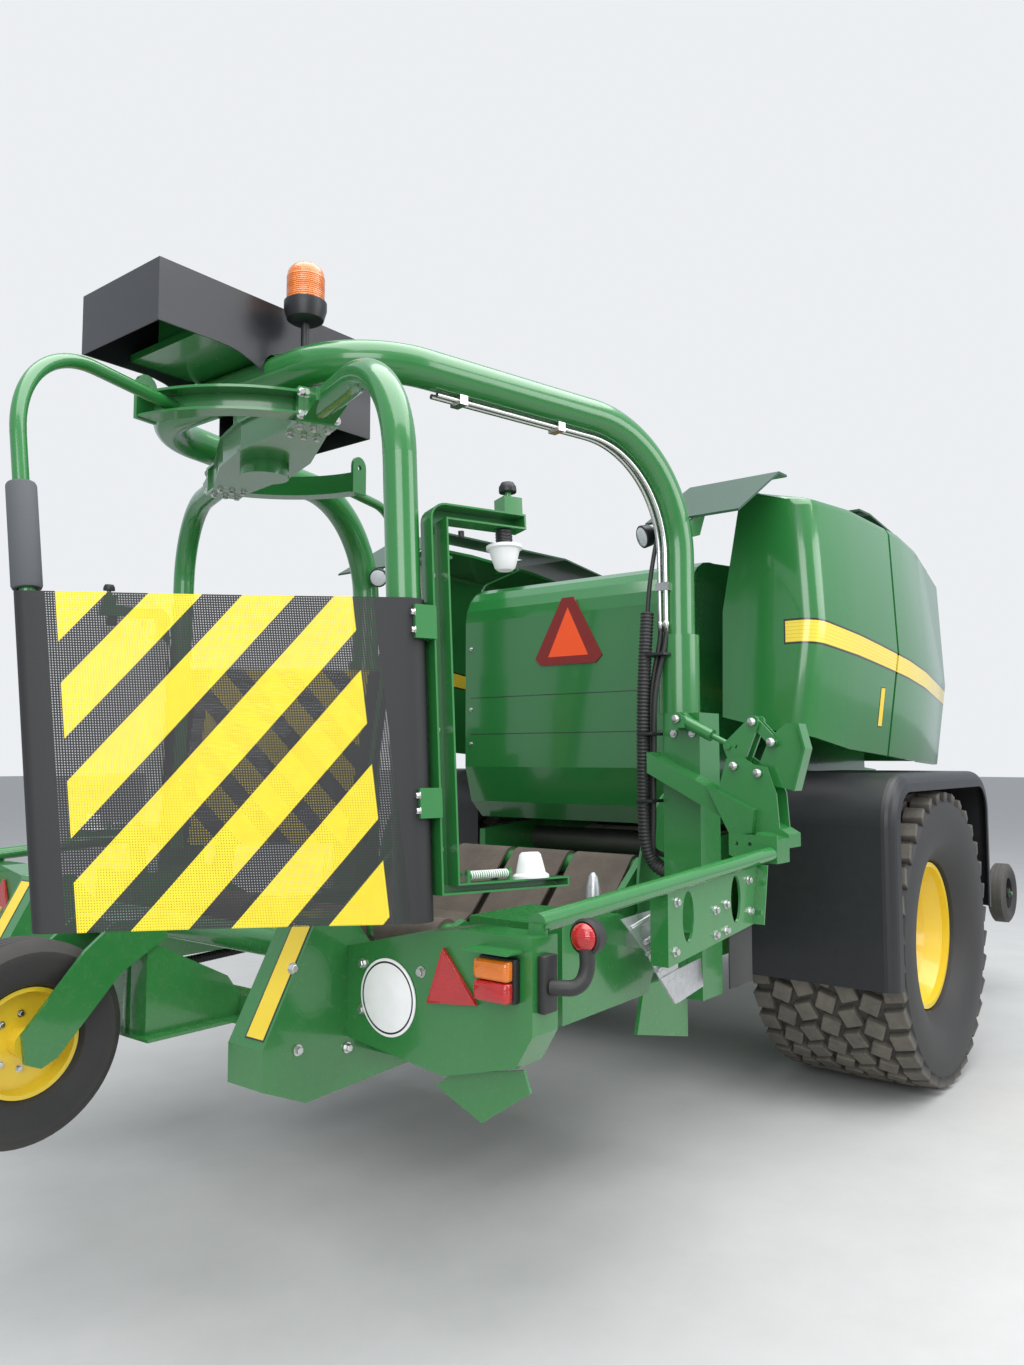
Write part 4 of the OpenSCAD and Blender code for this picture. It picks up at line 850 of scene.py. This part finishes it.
def net_section(z):
    """Points across the net at one height: round the guard tube, straight, round the arm tube."""
    a, g = arm_point(z), guard_point(z)
    way = a - g
    way.z = 0
    way.normalize()
    out = Vector((way.y, -way.x, 0))

    def off(centre, radius, turn):
        return centre + radius * (out * math.cos(turn) + way * math.sin(turn))

    steps = [WRAP * i / WRAP_STEPS for i in range(WRAP_STEPS + 1)]
    points = [off(g, OFF_GUARD, turn - WRAP) for turn in steps]
    start, end = points[-1], off(a, OFF_ARM, 0.0)
    for i in range(1, SPAN_STEPS):
        t = i / SPAN_STEPS
        points.append(start.lerp(end, t) - out * NET_SAG * math.sin(math.pi * t))
    return points + [off(a, OFF_ARM, turn) for turn in steps]


def net_piece(name, turn):
    """Stretched cloth with its own map in metres: u runs across it, v up from its lower edge."""
    first, last = GUARD_Z + NET_HEM, NET_Z - NET_HEM
    levels = [first + (last - first) * i / NET_LEVELS for i in range(NET_LEVELS + 1)]
    rows = [net_section(z) for z in levels]
    count = len(rows[0])
    faces = [(k, k + 1, k + count + 1, k + count) for j in range(NET_LEVELS)
             for k in range(j * count, (j + 1) * count - 1)]
    piece = from_points(name, [tuple(p) for row in rows for p in row], faces)
    cloth = piece.data.uv_layers.new(name="cloth")
    place = []
    for z, row in zip(levels, rows):
        run = 0.0
        for i, point in enumerate(row):
            run += (point - row[i - 1]).length if i else 0.0
            place.append((run, z - GUARD_Z))
    for loop in piece.data.loops:
        cloth.data[loop.index].uv = place[loop.vertex_index]
    piece.data.transform(rotor_place(turn))
    smooth(piece, 60)
    finish_piece(piece, "rotor", "net_cloth", net_cloth)
    return piece


# The rotor's two ends: how far each is turned round, and the letter that its pieces carry
ENDS = ((0.0, "a"), (math.pi, "b"))
nets = [net_piece("net_guard_" + name, turn) for turn, name in ENDS]
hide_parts("guard_nets")

sleeve_outline = [(0.0215, 0.0), (0.033, 0.0), (0.036, 0.006), (0.036, 0.264), (0.033, 0.270),
                  (0.0215, 0.270)]
for turn, name in ENDS:
    low, high = guard_point(1.935), guard_point(2.20)
    sleeve = turned("foam_sleeve_" + name, sleeve_outline, 24, low, high - low)
    sleeve.data.transform(rotor_place(turn))
    smooth(sleeve, 40)
    finish_piece(sleeve, "rotor", "black_plastic", foam)


# Rear signs and lamps, both sides

SIGN = Vector((BOARD_X - 0.002, -0.958, 0.905))
SIGN_R = 0.1
sign_outline = [(0.0, 0.0), (SIGN_R, 0.0), (SIGN_R, 0.003), (SIGN_R - 0.002, 0.004), (0.0, 0.004)]
sign = turned("speed_sign", sign_outline, 64, SIGN, BACK, 35)
right_and_left(sign, "base_frame", "black_plastic", sign_face_material(SIGN, SIGN_R))
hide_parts("rear_lamps")


def triangle_plate(name, corners, back, front, border):
    """Flat triangle with a raised border; its corners are (y, z) pairs."""
    piece = from_points(name, [(back, y, z) for y, z in corners], [(0, 1, 2)])
    if piece.data.polygons[0].normal.x > 0:
        piece.data.flip_normals()
    apply_modifier(piece, "SOLIDIFY", thickness=front - back, offset=-1)
    pick_faces(piece, lambda face: face.normal.x < -0.9)
    bpy.ops.mesh.inset(thickness=border, depth=-0.002)
    leave_edit()
    apply_modifier(piece, "BEVEL", width=0.0015, segments=2)
    smooth(piece)
    return piece


reflector = triangle_plate("triangle_reflector", [(-1.104, 0.914), (-1.269, 0.931), (-1.157, 1.056)],
                           BOARD_X - 0.014, BOARD_X - 0.002, 0.012)
right_and_left(reflector, "base_frame", "lamp_red", red_lens)

housing = rounded_box("lamp_housing", (BOARD_X - 0.024, -1.396, 0.952), (BOARD_X, -1.284, 1.058), 0.006)
right_and_left(housing, "base_frame", "black_plastic", black_plastic)
for name, slot, low, high, lens in (("lamp_red_lens", "lamp_red", 0.956, 1.004, red_lens),
                                    ("lamp_amber_lens", "beacon_amber", 1.006, 1.054, amber_lens)):
    glass = box_start(name, (BOARD_X - 0.048, -1.392, low), (BOARD_X - 0.023, -1.288, high))
    pick_faces(glass, lambda face: face.normal.x < -0.9)
    bpy.ops.mesh.inset(thickness=0.008)
    bpy.ops.transform.translate(value=(-0.004, 0, 0))
    leave_edit()
    apply_modifier(glass, "BEVEL", width=0.006, segments=3)
    smooth(glass)
    right_and_left(glass, "base_frame", slot, lens)

# guard plate above the lamp
guard = box_start("lamp_guard", (BOARD_X - 0.070, -1.408, 1.072), (BOARD_X, -1.272, 1.077))
pick_faces(guard, lambda face: face.normal.z > 0.9)
bpy.ops.mesh.inset(thickness=0.018)
leave_edit()
right_and_left(guard, "base_frame", "green_paint", green)

# rubber arm with a round lamp beyond the board's outer end
ARM_LAMP = (-3.060, -1.510, 1.105)
arm_foot = rounded_box("arm_lamp_foot", (-3.142, -1.452, 0.93), (-3.088, -1.430, 1.065), 0.005)
arm_bend = pipe("arm_lamp_bend", [(-3.115, -1.45, 0.99), (-3.105, -1.475, 0.99), (-3.085, -1.505, 0.995),
                                  (-3.065, -1.515, 1.02), (-3.060, -1.515, 1.085)], 0.019, 16)
arm_rubber = join("arm_lamp_rubber", [arm_foot, arm_bend])
right_and_left(arm_rubber, "base_frame", "black_plastic", rubber)
cup = turned("arm_lamp_cup", [(0.0, -0.045), (0.030, -0.045), (0.042, -0.03), (0.044, 0.0), (0.038, 0.006),
                              (0.036, 0.0), (0.0, 0.0)], 32, ARM_LAMP, BACK, 35)
right_and_left(cup, "base_frame", "black_plastic", rubber)
bulb = turned("arm_lamp_lens", [(0.0, 0.0), (0.034, 0.0), (0.034, 0.010), (0.026, 0.020), (0.012, 0.026),
                                (0.0, 0.027)], 32, ARM_LAMP, BACK, 50)
right_and_left(bulb, "base_frame", "lamp_red", red_lens)


# Film units: their own frame stands on the arm's foot, X outwards, Y along the turn, Z up the arm

def film_place(turn):
    return rotor_place(turn) @ Matrix.Translation(arm_point(GUARD_Z)) @ Matrix.Rotation(-ARM_LEAN, 4, "Y")


def up_arm(z):
    """Distance along the leaning arm at a height."""
    return (z - GUARD_Z) / math.cos(ARM_LEAN)


PAN_MID = 0.025
STRETCH_Y = 0.1095
STRETCH_FOOT = up_arm(1.24)
STRETCH_TOP = up_arm(2.05)
HOLDER = up_arm(2.18)
LOW_CONE = Vector((PAN_MID, 0.331, up_arm(1.19) + 0.026))
TOP_CONE = Vector((PAN_MID, 0.291, HOLDER - 0.042))
SPRING_Z = LOW_CONE.z + 0.017


def stretch_roller(x):
    """White roller with fine ribs round it."""
    high, pitch = STRETCH_TOP - STRETCH_FOOT, 0.0125
    outline = [(0.0, 0.0), (0.014, 0.0), (0.014, 0.012), (0.026, 0.016)]
    for i in range(int((high - 0.036) / pitch)):
        start = 0.018 + i * pitch
        outline += [(0.0268, start), (0.0285, start + 0.002), (0.0285, start + 0.009),
                    (0.0268, start + 0.011)]
    outline += [(0.026, high - 0.016), (0.014, high - 0.012), (0.014, high), (0.0, high)]
    return turned("roller", outline, 20, (x, STRETCH_Y, STRETCH_FOOT), UP)


def ribbed_neck():
    outline = [(0.0, 0.0)]
    for i in range(5):
        foot = i * 0.008
        outline += [(0.022, foot + 0.002), (0.0235, foot + 0.004), (0.022, foot + 0.007)]
    return turned("neck", outline + [(0.0, 0.043)], 24, TOP_CONE, -UP)


def film_piece(name, parts, turn, slot, material):
    piece = join(name, parts)
    piece.data.transform(film_place(turn))
    smooth(piece, 40)
    return finish_piece(piece, "rotor", slot, material)


low_cone_outline = [(0.0, 0.0), (0.0475, 0.0), (0.0475, 0.006), (0.044, 0.010), (0.039, 0.013),
                    (0.033, 0.040), (0.028, 0.060), (0.022, 0.066), (0.0, 0.067)]
top_cone_outline = [(0.0, 0.042), (0.049, 0.046), (0.049, 0.054), (0.041, 0.058), (0.034, 0.085),
                    (0.028, 0.105), (0.020, 0.112), (0.0, 0.112)]
knob_outline = [(0.0, 0.0), (0.0235, 0.0), (0.0245, 0.004), (0.0235, 0.016), (0.017, 0.027), (0.0, 0.029)]
stop_outline = [(0.0, 0.0), (0.008, 0.0), (0.008, 0.016), (0.005, 0.019), (0.0, 0.019)]


def film_unit(name, turn):
    """White rollers, cones and spring; black knob, neck and stops; bolts. Returns the white piece."""
    rollers = [stretch_roller(x) for x in (-0.040, -0.098)]
    rollers.append(turned("low_cone", low_cone_outline, 36, LOW_CONE, UP))
    rollers.append(turned("top_cone", top_cone_outline, 36, TOP_CONE, -UP))
    coil = spring("spring", (PAN_MID, 0.150, SPRING_Z), (PAN_MID, 0.260, SPRING_Z), 0.0095, 0.002, 17)
    rollers.append(coil)
    unit = film_piece("film_rollers_" + name, rollers, turn, "bright_steel", white_plastic)
    knob_place = (PAN_MID, TOP_CONE.y + 0.018, HOLDER + 0.065)
    knobs = [turned("knob", knob_outline, 28, knob_place, UP), ribbed_neck()]
    knobs += [turned("stop", stop_outline, 16, (PAN_MID, y, HOLDER - 0.061), -UP) for y in (0.072, 0.16)]
    film_piece("film_knobs_" + name, knobs, turn, "black_plastic", black_plastic)
    spots = [along((x, 0.0, up_arm(z)), OUT) for z in (1.395, 1.432, 1.84, 1.885) for x in (-0.058, 0.058)]
    spots += [along((0.0, 0.0815, up_arm(z)), FRONT) for z in (1.3, 1.6, 2.0)]
    bolts = stamp("film_bolts_" + name, small_bolt, [film_place(turn) @ spot for spot in spots])
    finish_piece(bolts, "rotor", "bright_steel", steel)
    return unit


film_units = [film_unit(name, turn) for turn, name in ENDS]
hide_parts("film_rollers")

# bolts under and on the ends of the rotor's beam
for turn, name in ENDS:
    spots = [along((x, y, BEAM_Z - 0.055), -UP) for y in (-0.045, 0.0, 0.045) for x in (0.49, 0.40)]
    spots += [along((0.532, y, BEAM_Z + z), FRONT) for z in (-0.035, 0.035) for y in (-0.058, 0.058)]
    bolts = stamp("head_bolts_" + name, bolt, [rotor_place(turn) @ spot for spot in spots])
    finish_piece(bolts, "rotor", "bright_steel", steel)

# Beacon: black foot with an amber ribbed dome
BEACON = Vector((-2.95, -0.33, HOOP_Z + 0.065))
foot_outline = [(0.0, 0.0), (0.0135, 0.0), (0.0135, 0.088), (0.044, 0.090), (0.060, 0.100), (0.070, 0.135),
                (0.070, 0.158), (0.064, 0.162), (0.0, 0.162)]
foot = turned("beacon_foot", foot_outline, 40, BEACON, UP, 35)
finish_piece(foot, "base_frame", "black_plastic", black_plastic)
dome_outline = [(0.0, 0.160), (0.062, 0.160)]
for i in range(12):
    z = 0.166 + i * 0.0066
    dome_outline += [(0.0625, z), (0.0610, z + 0.003)]
for i in range(7):
    a = math.radians(15 * i)
    dome_outline.append((0.061 * math.cos(a), 0.247 + 0.047 * math.sin(a)))
dome = turned("beacon_dome", dome_outline, 40, BEACON, UP, 30)
finish_piece(dome, "base_frame", "beacon_amber", amber_lens)
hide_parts("beacon")


# Hoses tied to the right column: two plain ones beside a corrugated sleeve

def swept(name, path, radius_at, step, sides=12):
    """Closed tube along a smooth path, with a ring of its own radius at every step."""
    knots = [Vector(p) for p in path]
    dense = []
    for a, b, c, d in zip(knots[:1] + knots[:-2], knots[:-1], knots[1:], knots[2:] + knots[-1:]):
        for i in range(24):
            t = i / 24
            dense.append(0.5 * (2 * b + (c - a) * t + (2 * a - 5 * b + 4 * c - d) * t * t
                                + (3 * b - a - 3 * c + d) * t ** 3))
    dense.append(knots[-1])
    rings, run, due = [], 0.0, 0.0
    for here, ahead in zip(dense, dense[1:]):
        length = (ahead - here).length
        while due <= run + length:
            rings.append((here.lerp(ahead, (due - run) / length), (ahead - here).normalized()))
            due += step
        run += length
    mesh = bmesh.new()
    loops = []
    for i, (place, way) in enumerate(rings):
        turn = way.to_track_quat("Z", "X")
        radius = radius_at(i)
        angles = [2 * math.pi * k / sides for k in range(sides)]
        loops.append([mesh.verts.new(place + turn @ Vector((radius * math.cos(a), radius * math.sin(a), 0)))
                      for a in angles])
    for low, high in zip(loops, loops[1:]):
        for k in range(sides):
            mesh.faces.new((low[k], low[(k + 1) % sides], high[(k + 1) % sides], high[k]))
    mesh.faces.new(list(reversed(loops[0])))
    mesh.faces.new(loops[-1])
    return from_live(name, mesh)


def corrugated(radius):
    """Radius that is smaller on two rings out of four."""
    return lambda i: radius * (0.86 if i % 4 in (0, 3) else 1.0)


HOSE_R = 0.0105
SLEEVE_R = 0.027
RIB_STEP = 0.0035
hose_ways = [
    [(-1.589, -0.890, 2.035), (-1.592, -0.888, 1.98), (-1.622, -0.858, 1.78), (-1.618, -0.846, 1.55),
     (-1.612, -0.838, 1.30), (-1.590, -0.822, 1.17), (-1.550, -0.830, 1.12), (-1.530, -0.869, 1.10)],
    [(-1.589, -0.864, 2.035), (-1.592, -0.862, 1.98), (-1.610, -0.834, 1.78), (-1.605, -0.826, 1.55),
     (-1.598, -0.818, 1.30), (-1.575, -0.806, 1.19), (-1.530, -0.815, 1.15), (-1.500, -0.869, 1.14)],
]
hoses = [swept("hose", way, lambda i: HOSE_R, 0.02, 10) for way in hose_ways]
sleeve_way = [(-1.606, -0.815, 2.10), (-1.624, -0.812, 1.90), (-1.632, -0.808, 1.70), (-1.628, -0.804, 1.45),
              (-1.612, -0.800, 1.22), (-1.580, -0.815, 1.12), (-1.560, -0.869, 1.08)]
hoses.append(swept("sleeve", sleeve_way, corrugated(SLEEVE_R), RIB_STEP, 14))
hoses.append(pipe("lead", [(-1.606, -0.815, 2.09), (-1.600, -0.822, 2.20), (-1.585, -0.835, 2.33),
                           (-1.56, -0.84, 2.42)], 0.009, 8))
column_hoses = join("column_hoses", hoses)
smooth(column_hoses, 50)
finish_piece(column_hoses, "base_frame", "black_plastic", rubber)

# Each tie: its height, the middle that it goes round and its half sizes
tie_rows = ((1.93, -1.590, -0.860, 0.056, 0.050), (1.62, -1.612, -0.828, 0.048, 0.036),
            (1.36, -1.606, -0.820, 0.048, 0.036))
ties = [rounded_box("tie", (x - half_x, y - half_y, z - 0.006), (x + half_x, y + half_y, z + 0.006), 0.002)
        for z, x, y, half_x, half_y in tie_rows]
finish_piece(join("hose_ties", ties), "base_frame", "black_plastic", black_plastic)
fittings = [turned("nut", [(0.0, 0.0), (0.013, 0.0), (0.013, 0.018), (0.0115, 0.020), (0.0115, 0.042),
                           (0.0, 0.042)], 6, (-1.589, y, 2.062), -UP) for y in (-0.890, -0.864)]
finish_piece(join("hose_fittings", fittings), "base_frame", "bright_steel", steel)

# corrugated cable under the side of the wrapper's frame
cable_way = [(-2.96, -0.845, 0.712), (-2.80, -0.850, 0.690), (-2.60, -0.850, 0.684), (-2.40, -0.850, 0.690),
             (-2.20, -0.850, 0.700), (-2.08, -0.850, 0.716)]
cable = swept("frame_cable", cable_way, corrugated(0.020), RIB_STEP)
smooth(cable, 50)
right_and_left(cable, "base_frame", "black_plastic", rubber)

# work lamp on the inner side of each column
WORK_LAMP = Vector((-1.515, -0.790, 2.435))
LAMP_WAY = Vector((-0.8, 0.5, -0.3)).normalized()
lamp_can = turned("work_lamp_can", [(0.0, 0.0), (0.030, 0.0), (0.044, 0.018), (0.047, 0.050), (0.044, 0.053),
                                    (0.0, 0.050)], 36, WORK_LAMP, LAMP_WAY)
stem_way = [(-1.51, -0.838, 2.44), (-1.512, -0.815, 2.44), (-1.515, -0.792, 2.437)]
stem = pipe("work_lamp_stem", stem_way, 0.009, 8)
work_lamp = join("work_lamp", [lamp_can, stem])
smooth(work_lamp)
right_and_left(work_lamp, "base_frame", "black_plastic", black_plastic)
glass = turned("work_lamp_glass", [(0.0, 0.0), (0.041, 0.0), (0.041, 0.003), (0.030, 0.007), (0.0, 0.009)],
               36, WORK_LAMP + LAMP_WAY * 0.049, LAMP_WAY, 35)
right_and_left(glass, "base_frame", "bright_steel", clear_lens)

# rubber flap behind each oval-hole plate
flap = rounded_box("rail_flap", (-2.09, -1.3955, 0.800), (-1.93, -1.3895, 1.000), 0.002)
right_and_left(flap, "base_frame", "black_plastic", rubber)

# cone that keeps the bale on the table, with its bracket on the table's side plate
cone = turned("guide_cone", [(0.0, 0.0), (0.030, 0.0), (0.031, 0.010), (0.026, 0.110), (0.018, 0.150),
                             (0.008, 0.165), (0.0, 0.167)], 28, (-1.885, -0.735, 0.935), (0.04, 0, 1), 50)
right_and_left(cone, "table", "galvanised", galvanised)
cone_foot = rounded_box("cone_foot", (-1.925, -0.772, 0.920), (-1.845, -0.698, 0.936), 0.003)
right_and_left(cone_foot, "table", "green_paint", green)

# seams of the tailgate's skin
seams = [box_start("seam", (-1.0012, -0.632, z - 0.0015), (-0.9990, 0.632, z + 0.0015)) for z in (1.65, 1.84)]
finish_piece(join("tailgate_seams", seams), "gate", "black_paint", black_paint)


# Skins of the doors and side panels: x, half width at the bottom, heights of bottom, crease and top
SKIN_ROWS = [(-1.0, 1.206, 1.625, 2.100, 2.634), (-0.6, 1.240, 1.565, 2.060, 2.650),
             (0.0, 1.262, 1.525, 2.010, 2.636), (0.3, 1.254, 1.510, 1.985, 2.604),
             (0.8, 1.206, 1.490, 1.920, 2.510), (1.25, 1.066, 1.485, 1.860, 2.330),
             (1.45, 0.900, 1.500, 1.850, 2.200)]
SKIN_WALL = 0.016
LOWER_LEAN = 0.1275
UPPER_LEAN = 0.055
FLANGE = 0.3


def skin_row(x):
    """The skin's measures at x, between two rows of the table."""
    for low, high in zip(SKIN_ROWS, SKIN_ROWS[1:]):
        if x <= high[0]:
            t = (x - low[0]) / (high[0] - low[0])
            return [a + (b - a) * t for a, b in zip(low, high)]


def skin_points(x, place, turn_in=0.0):
    """The wall's outer and inner points at x, put at a place: from its bottom edge to its flange."""
    wide, low, fold, top = skin_row(x)[1:]
    crease = wide + (fold - low) * LOWER_LEAN
    edge = crease - (top - 0.04 - fold) * UPPER_LEAN
    outer = [(wide, low), (crease, fold), (edge, top - 0.04), (edge - 0.0155, top - 0.0125),
             (edge - 0.045, top), (edge - FLANGE, top + 0.06)]
    inner = [(wide - SKIN_WALL, low), (crease - SKIN_WALL, fold), (edge - SKIN_WALL, top - 0.05),
             (edge - 0.030, top - 0.027), (edge - 0.055, top - SKIN_WALL),
             (edge - FLANGE, top + 0.06 - SKIN_WALL)]
    return [[Vector((place, y - (turn_in if y > 1.0 else 0.0), z)) for y, z in line]
            for line in (outer, inner)]


def skin_mesh(name, rows, closing=None):
    """Closed wall through the rows; closing gives the free edge of a flat face over the first row."""
    mesh = bmesh.new()
    outer = [[mesh.verts.new(v) for v in row[0]] for row in rows]
    inner = [[mesh.verts.new(v) for v in row[1]] for row in rows]
    last = len(rows[0][0]) - 1
    for i in range(len(rows) - 1):
        for k in range(last):
            mesh.faces.new((outer[i][k], outer[i][k + 1], outer[i + 1][k + 1], outer[i + 1][k]))
            mesh.faces.new((inner[i][k], inner[i + 1][k], inner[i + 1][k + 1], inner[i][k + 1]))
        for k in (0, last):
            mesh.faces.new((outer[i][k], outer[i + 1][k], inner[i + 1][k], inner[i][k]))
    ends = (-1,) if closing else (0, -1)
    for i in ends:
        for k in range(last):
            mesh.faces.new((outer[i][k], outer[i][k + 1], inner[i][k + 1], inner[i][k]))
    if closing:
        front = [mesh.verts.new((rows[0][0][0].x, y, z)) for y, z in closing]
        back = [mesh.verts.new((rows[0][1][0].x, y, z)) for y, z in closing]
        mesh.faces.new(outer[0] + front)
        mesh.faces.new(inner[0] + back)
        rim_out = [outer[0][last]] + front + [outer[0][0]]
        rim_in = [inner[0][last]] + back + [inner[0][0]]
        for k in range(len(rim_out) - 1):
            mesh.faces.new((rim_out[k], rim_out[k + 1], rim_in[k + 1], rim_in[k]))
    bmesh.ops.recalc_face_normals(mesh, faces=mesh.faces)
    return from_live(name, mesh)


# Door sections: x, how far the outer face turns in there, then the place and the turn of the inner face
DOOR_ROWS = [(-1.0, 0.070, -0.984, 0.060), (-0.992, 0.045, -0.978, 0.048), (-0.975, 0.020, -0.966, 0.024),
             (-0.945, 0.005, -0.945, 0.005), (-0.91, 0.0, -0.91, 0.0), (-0.6, 0.0, -0.6, 0.0),
             (-0.16, 0.0, -0.16, 0.0)]
HINGE_Y = 0.95
HINGE_Z = 2.66
door_rows = [(skin_points(x, x, turn)[0], skin_points(x, place, inner_turn)[1])
             for x, turn, place, inner_turn in DOOR_ROWS]
door_skin = skin_mesh("door_skin", door_rows, closing=[(0.930, 2.684), (0.835, 2.169), (0.828, 1.705)])
door_parts = [door_skin]
for x in (-0.9, -0.33):
    cut = box_start("slot", (x - 0.024, 0.880, 2.600), (x - 0.0002, 1.015, 2.750))
    apply_modifier(door_skin, "BOOLEAN", operation="DIFFERENCE", solver="EXACT", object=cut)
    bpy.data.objects.remove(cut)
    door_parts.append(turned("knuckle", [(0.0105, 0.0), (0.020, 0.0), (0.020, 0.060), (0.0105, 0.060)], 28,
                             (x, HINGE_Y, HINGE_Z), FRONT))
    door_parts.append(box_start("leaf", (x + 0.0005, HINGE_Y + 0.017, HINGE_Z - 0.019),
                                (x + 0.0595, HINGE_Y + 0.089, skin_row(x)[4] + 0.022)))
door_left = join("door_shell_left", door_parts)
smooth(door_left)
door_right = mirrored(door_left, "door_shell_right")
for piece, side in ((door_left, "left"), (door_right, "right")):
    finish_piece(piece, "side_door_" + side, "green_paint", striped)
    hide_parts("door_" + side)

panel_left = skin_mesh("panel_skin", [skin_points(x, x) for x in (-0.138, 0.0, 0.3, 0.8, 1.25, 1.45)])
panel_right = mirrored(panel_left, "panel_skin_right")
FRONT_X = 1.440
front_half = [(0.892, 1.505), (0.9366, 1.850), (0.9196, 2.158), (0.600, 2.245)]
front_outline = front_half + [(-y, z) for y, z in reversed(front_half)]
front_face = from_points("front_face", [(FRONT_X, y, z) for y, z in front_outline], [tuple(range(8))])
offset = 1 if front_face.data.polygons[0].normal.x < 0 else -1
apply_modifier(front_face, "SOLIDIFY", thickness=SKIN_WALL, offset=offset)
panel_shells = join("panel_shells", [panel_left, panel_right, front_face])
face_outwards(panel_shells)
smooth(panel_shells)
finish_piece(panel_shells, "base_frame", "green_paint", striped)
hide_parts("side_panels")


# Blank decals: thin plates with a dark border

def decal(name, corners, normal, body):
    """Thin blank label through four corners, raised a hair along its normal."""
    normal = Vector(normal)
    piece = from_points(name, [tuple(Vector(c) + normal * 0.0012) for c in corners], [(0, 1, 2, 3)])
    if piece.data.polygons[0].normal.dot(normal) < 0:
        piece.data.flip_normals()
    apply_modifier(piece, "SOLIDIFY", thickness=0.0010, offset=-1)
    pick_faces(piece, lambda face: face.normal.dot(normal) > 0.9)
    bpy.ops.mesh.inset(thickness=0.004)
    leave_edit()
    finish_piece(piece, body, "yellow_paint", decal_yellow, black_paint)
    faces = piece.data.polygons
    field = max(faces, key=lambda face: face.area if face.normal.dot(normal) > 0.9 else 0).index
    for face in faces:
        face.material_index = 0 if face.index == field else 1


for side, name in SIDES:
    corners = []
    for x, z in ((-0.315, 1.670), (-0.262, 1.670), (-0.262, 1.854), (-0.315, 1.854)):
        wide, low = skin_row(x)[1:3]
        corners.append((x, side * (wide + (z - low) * LOWER_LEAN), z))
    decal("door_decal_" + name, corners, (-0.037, side * 0.991, -0.12), "side_door_" + name)

# blank strip on the slanted rear face of each tower
STRIP_LOW = (-3.4298, 0.8183)
STRIP_HIGH = (-3.2785, 1.0898)
for side, name in SIDES:
    corners = [(x, side * y, z) for (x, z), y in ((STRIP_LOW, 0.715), (STRIP_LOW, 0.790), (STRIP_HIGH, 0.790),
                                                  (STRIP_HIGH, 0.715))]
    decal("tower_decal_" + name, corners, (-0.873, 0, 0.487), "base_frame")

# Floor, light and backdrop

def floor_material():
    material, w, shader = new_material("pale floor")
    speck = w.noise(w.spot(), 3.0, 6, 0.7)
    w.feed(shader, "Base Color", w.mix(speck, (0.40, 0.40, 0.39, 1), (0.50, 0.50, 0.49, 1)))
    w.feed(shader, "Roughness", 0.85)
    return material


bpy.ops.object.select_all(action="DESELECT")
bpy.ops.mesh.primitive_plane_add(size=160, location=(0, 0, 0))
floor = started("floor")
floor.data.materials.append(floor_material())

sky = bpy.data.worlds.new("soft studio sky")
sky.use_nodes = True
world_scene.world = sky
w = Wiring(sky.node_tree)
background = sky.node_tree.nodes["Background"]
rays = w.add("ShaderNodeLightPath").outputs
seen = w.math("MAXIMUM", rays["Is Camera Ray"], rays["Is Transmission Ray"])
w.feed(background, "Color", w.mix(seen, (0.80, 0.85, 0.93, 1), (0.86, 0.88, 0.91, 1)))
w.feed(background, "Strength", w.plus(0.82, w.times(seen, 0.16)))


def soft_light(name, place, target, size, power):
    light = bpy.data.lights.new(name, "AREA")
    light.shape = "RECTANGLE"
    light.size, light.size_y = size
    light.energy = power
    lamp = linked(name, light)
    lamp.location = place
    lamp.rotation_euler = (Vector(target) - Vector(place)).to_track_quat("-Z", "Y").to_euler()


soft_light("overhead", (-1.5, -2.0, 9.0), (-0.5, 0, 1.0), (12, 10), 1350)
soft_light("rear fill", (-9.0, -5.0, 4.0), (-1, 0, 1.4), (5, 4), 260)
soft_light("right fill", (2.0, -9.0, 4.5), (-0.5, 0, 1.4), (6, 4), 260)

for master in (bolt, small_bolt, wheel_nut, pin):
    bpy.data.objects.remove(master)
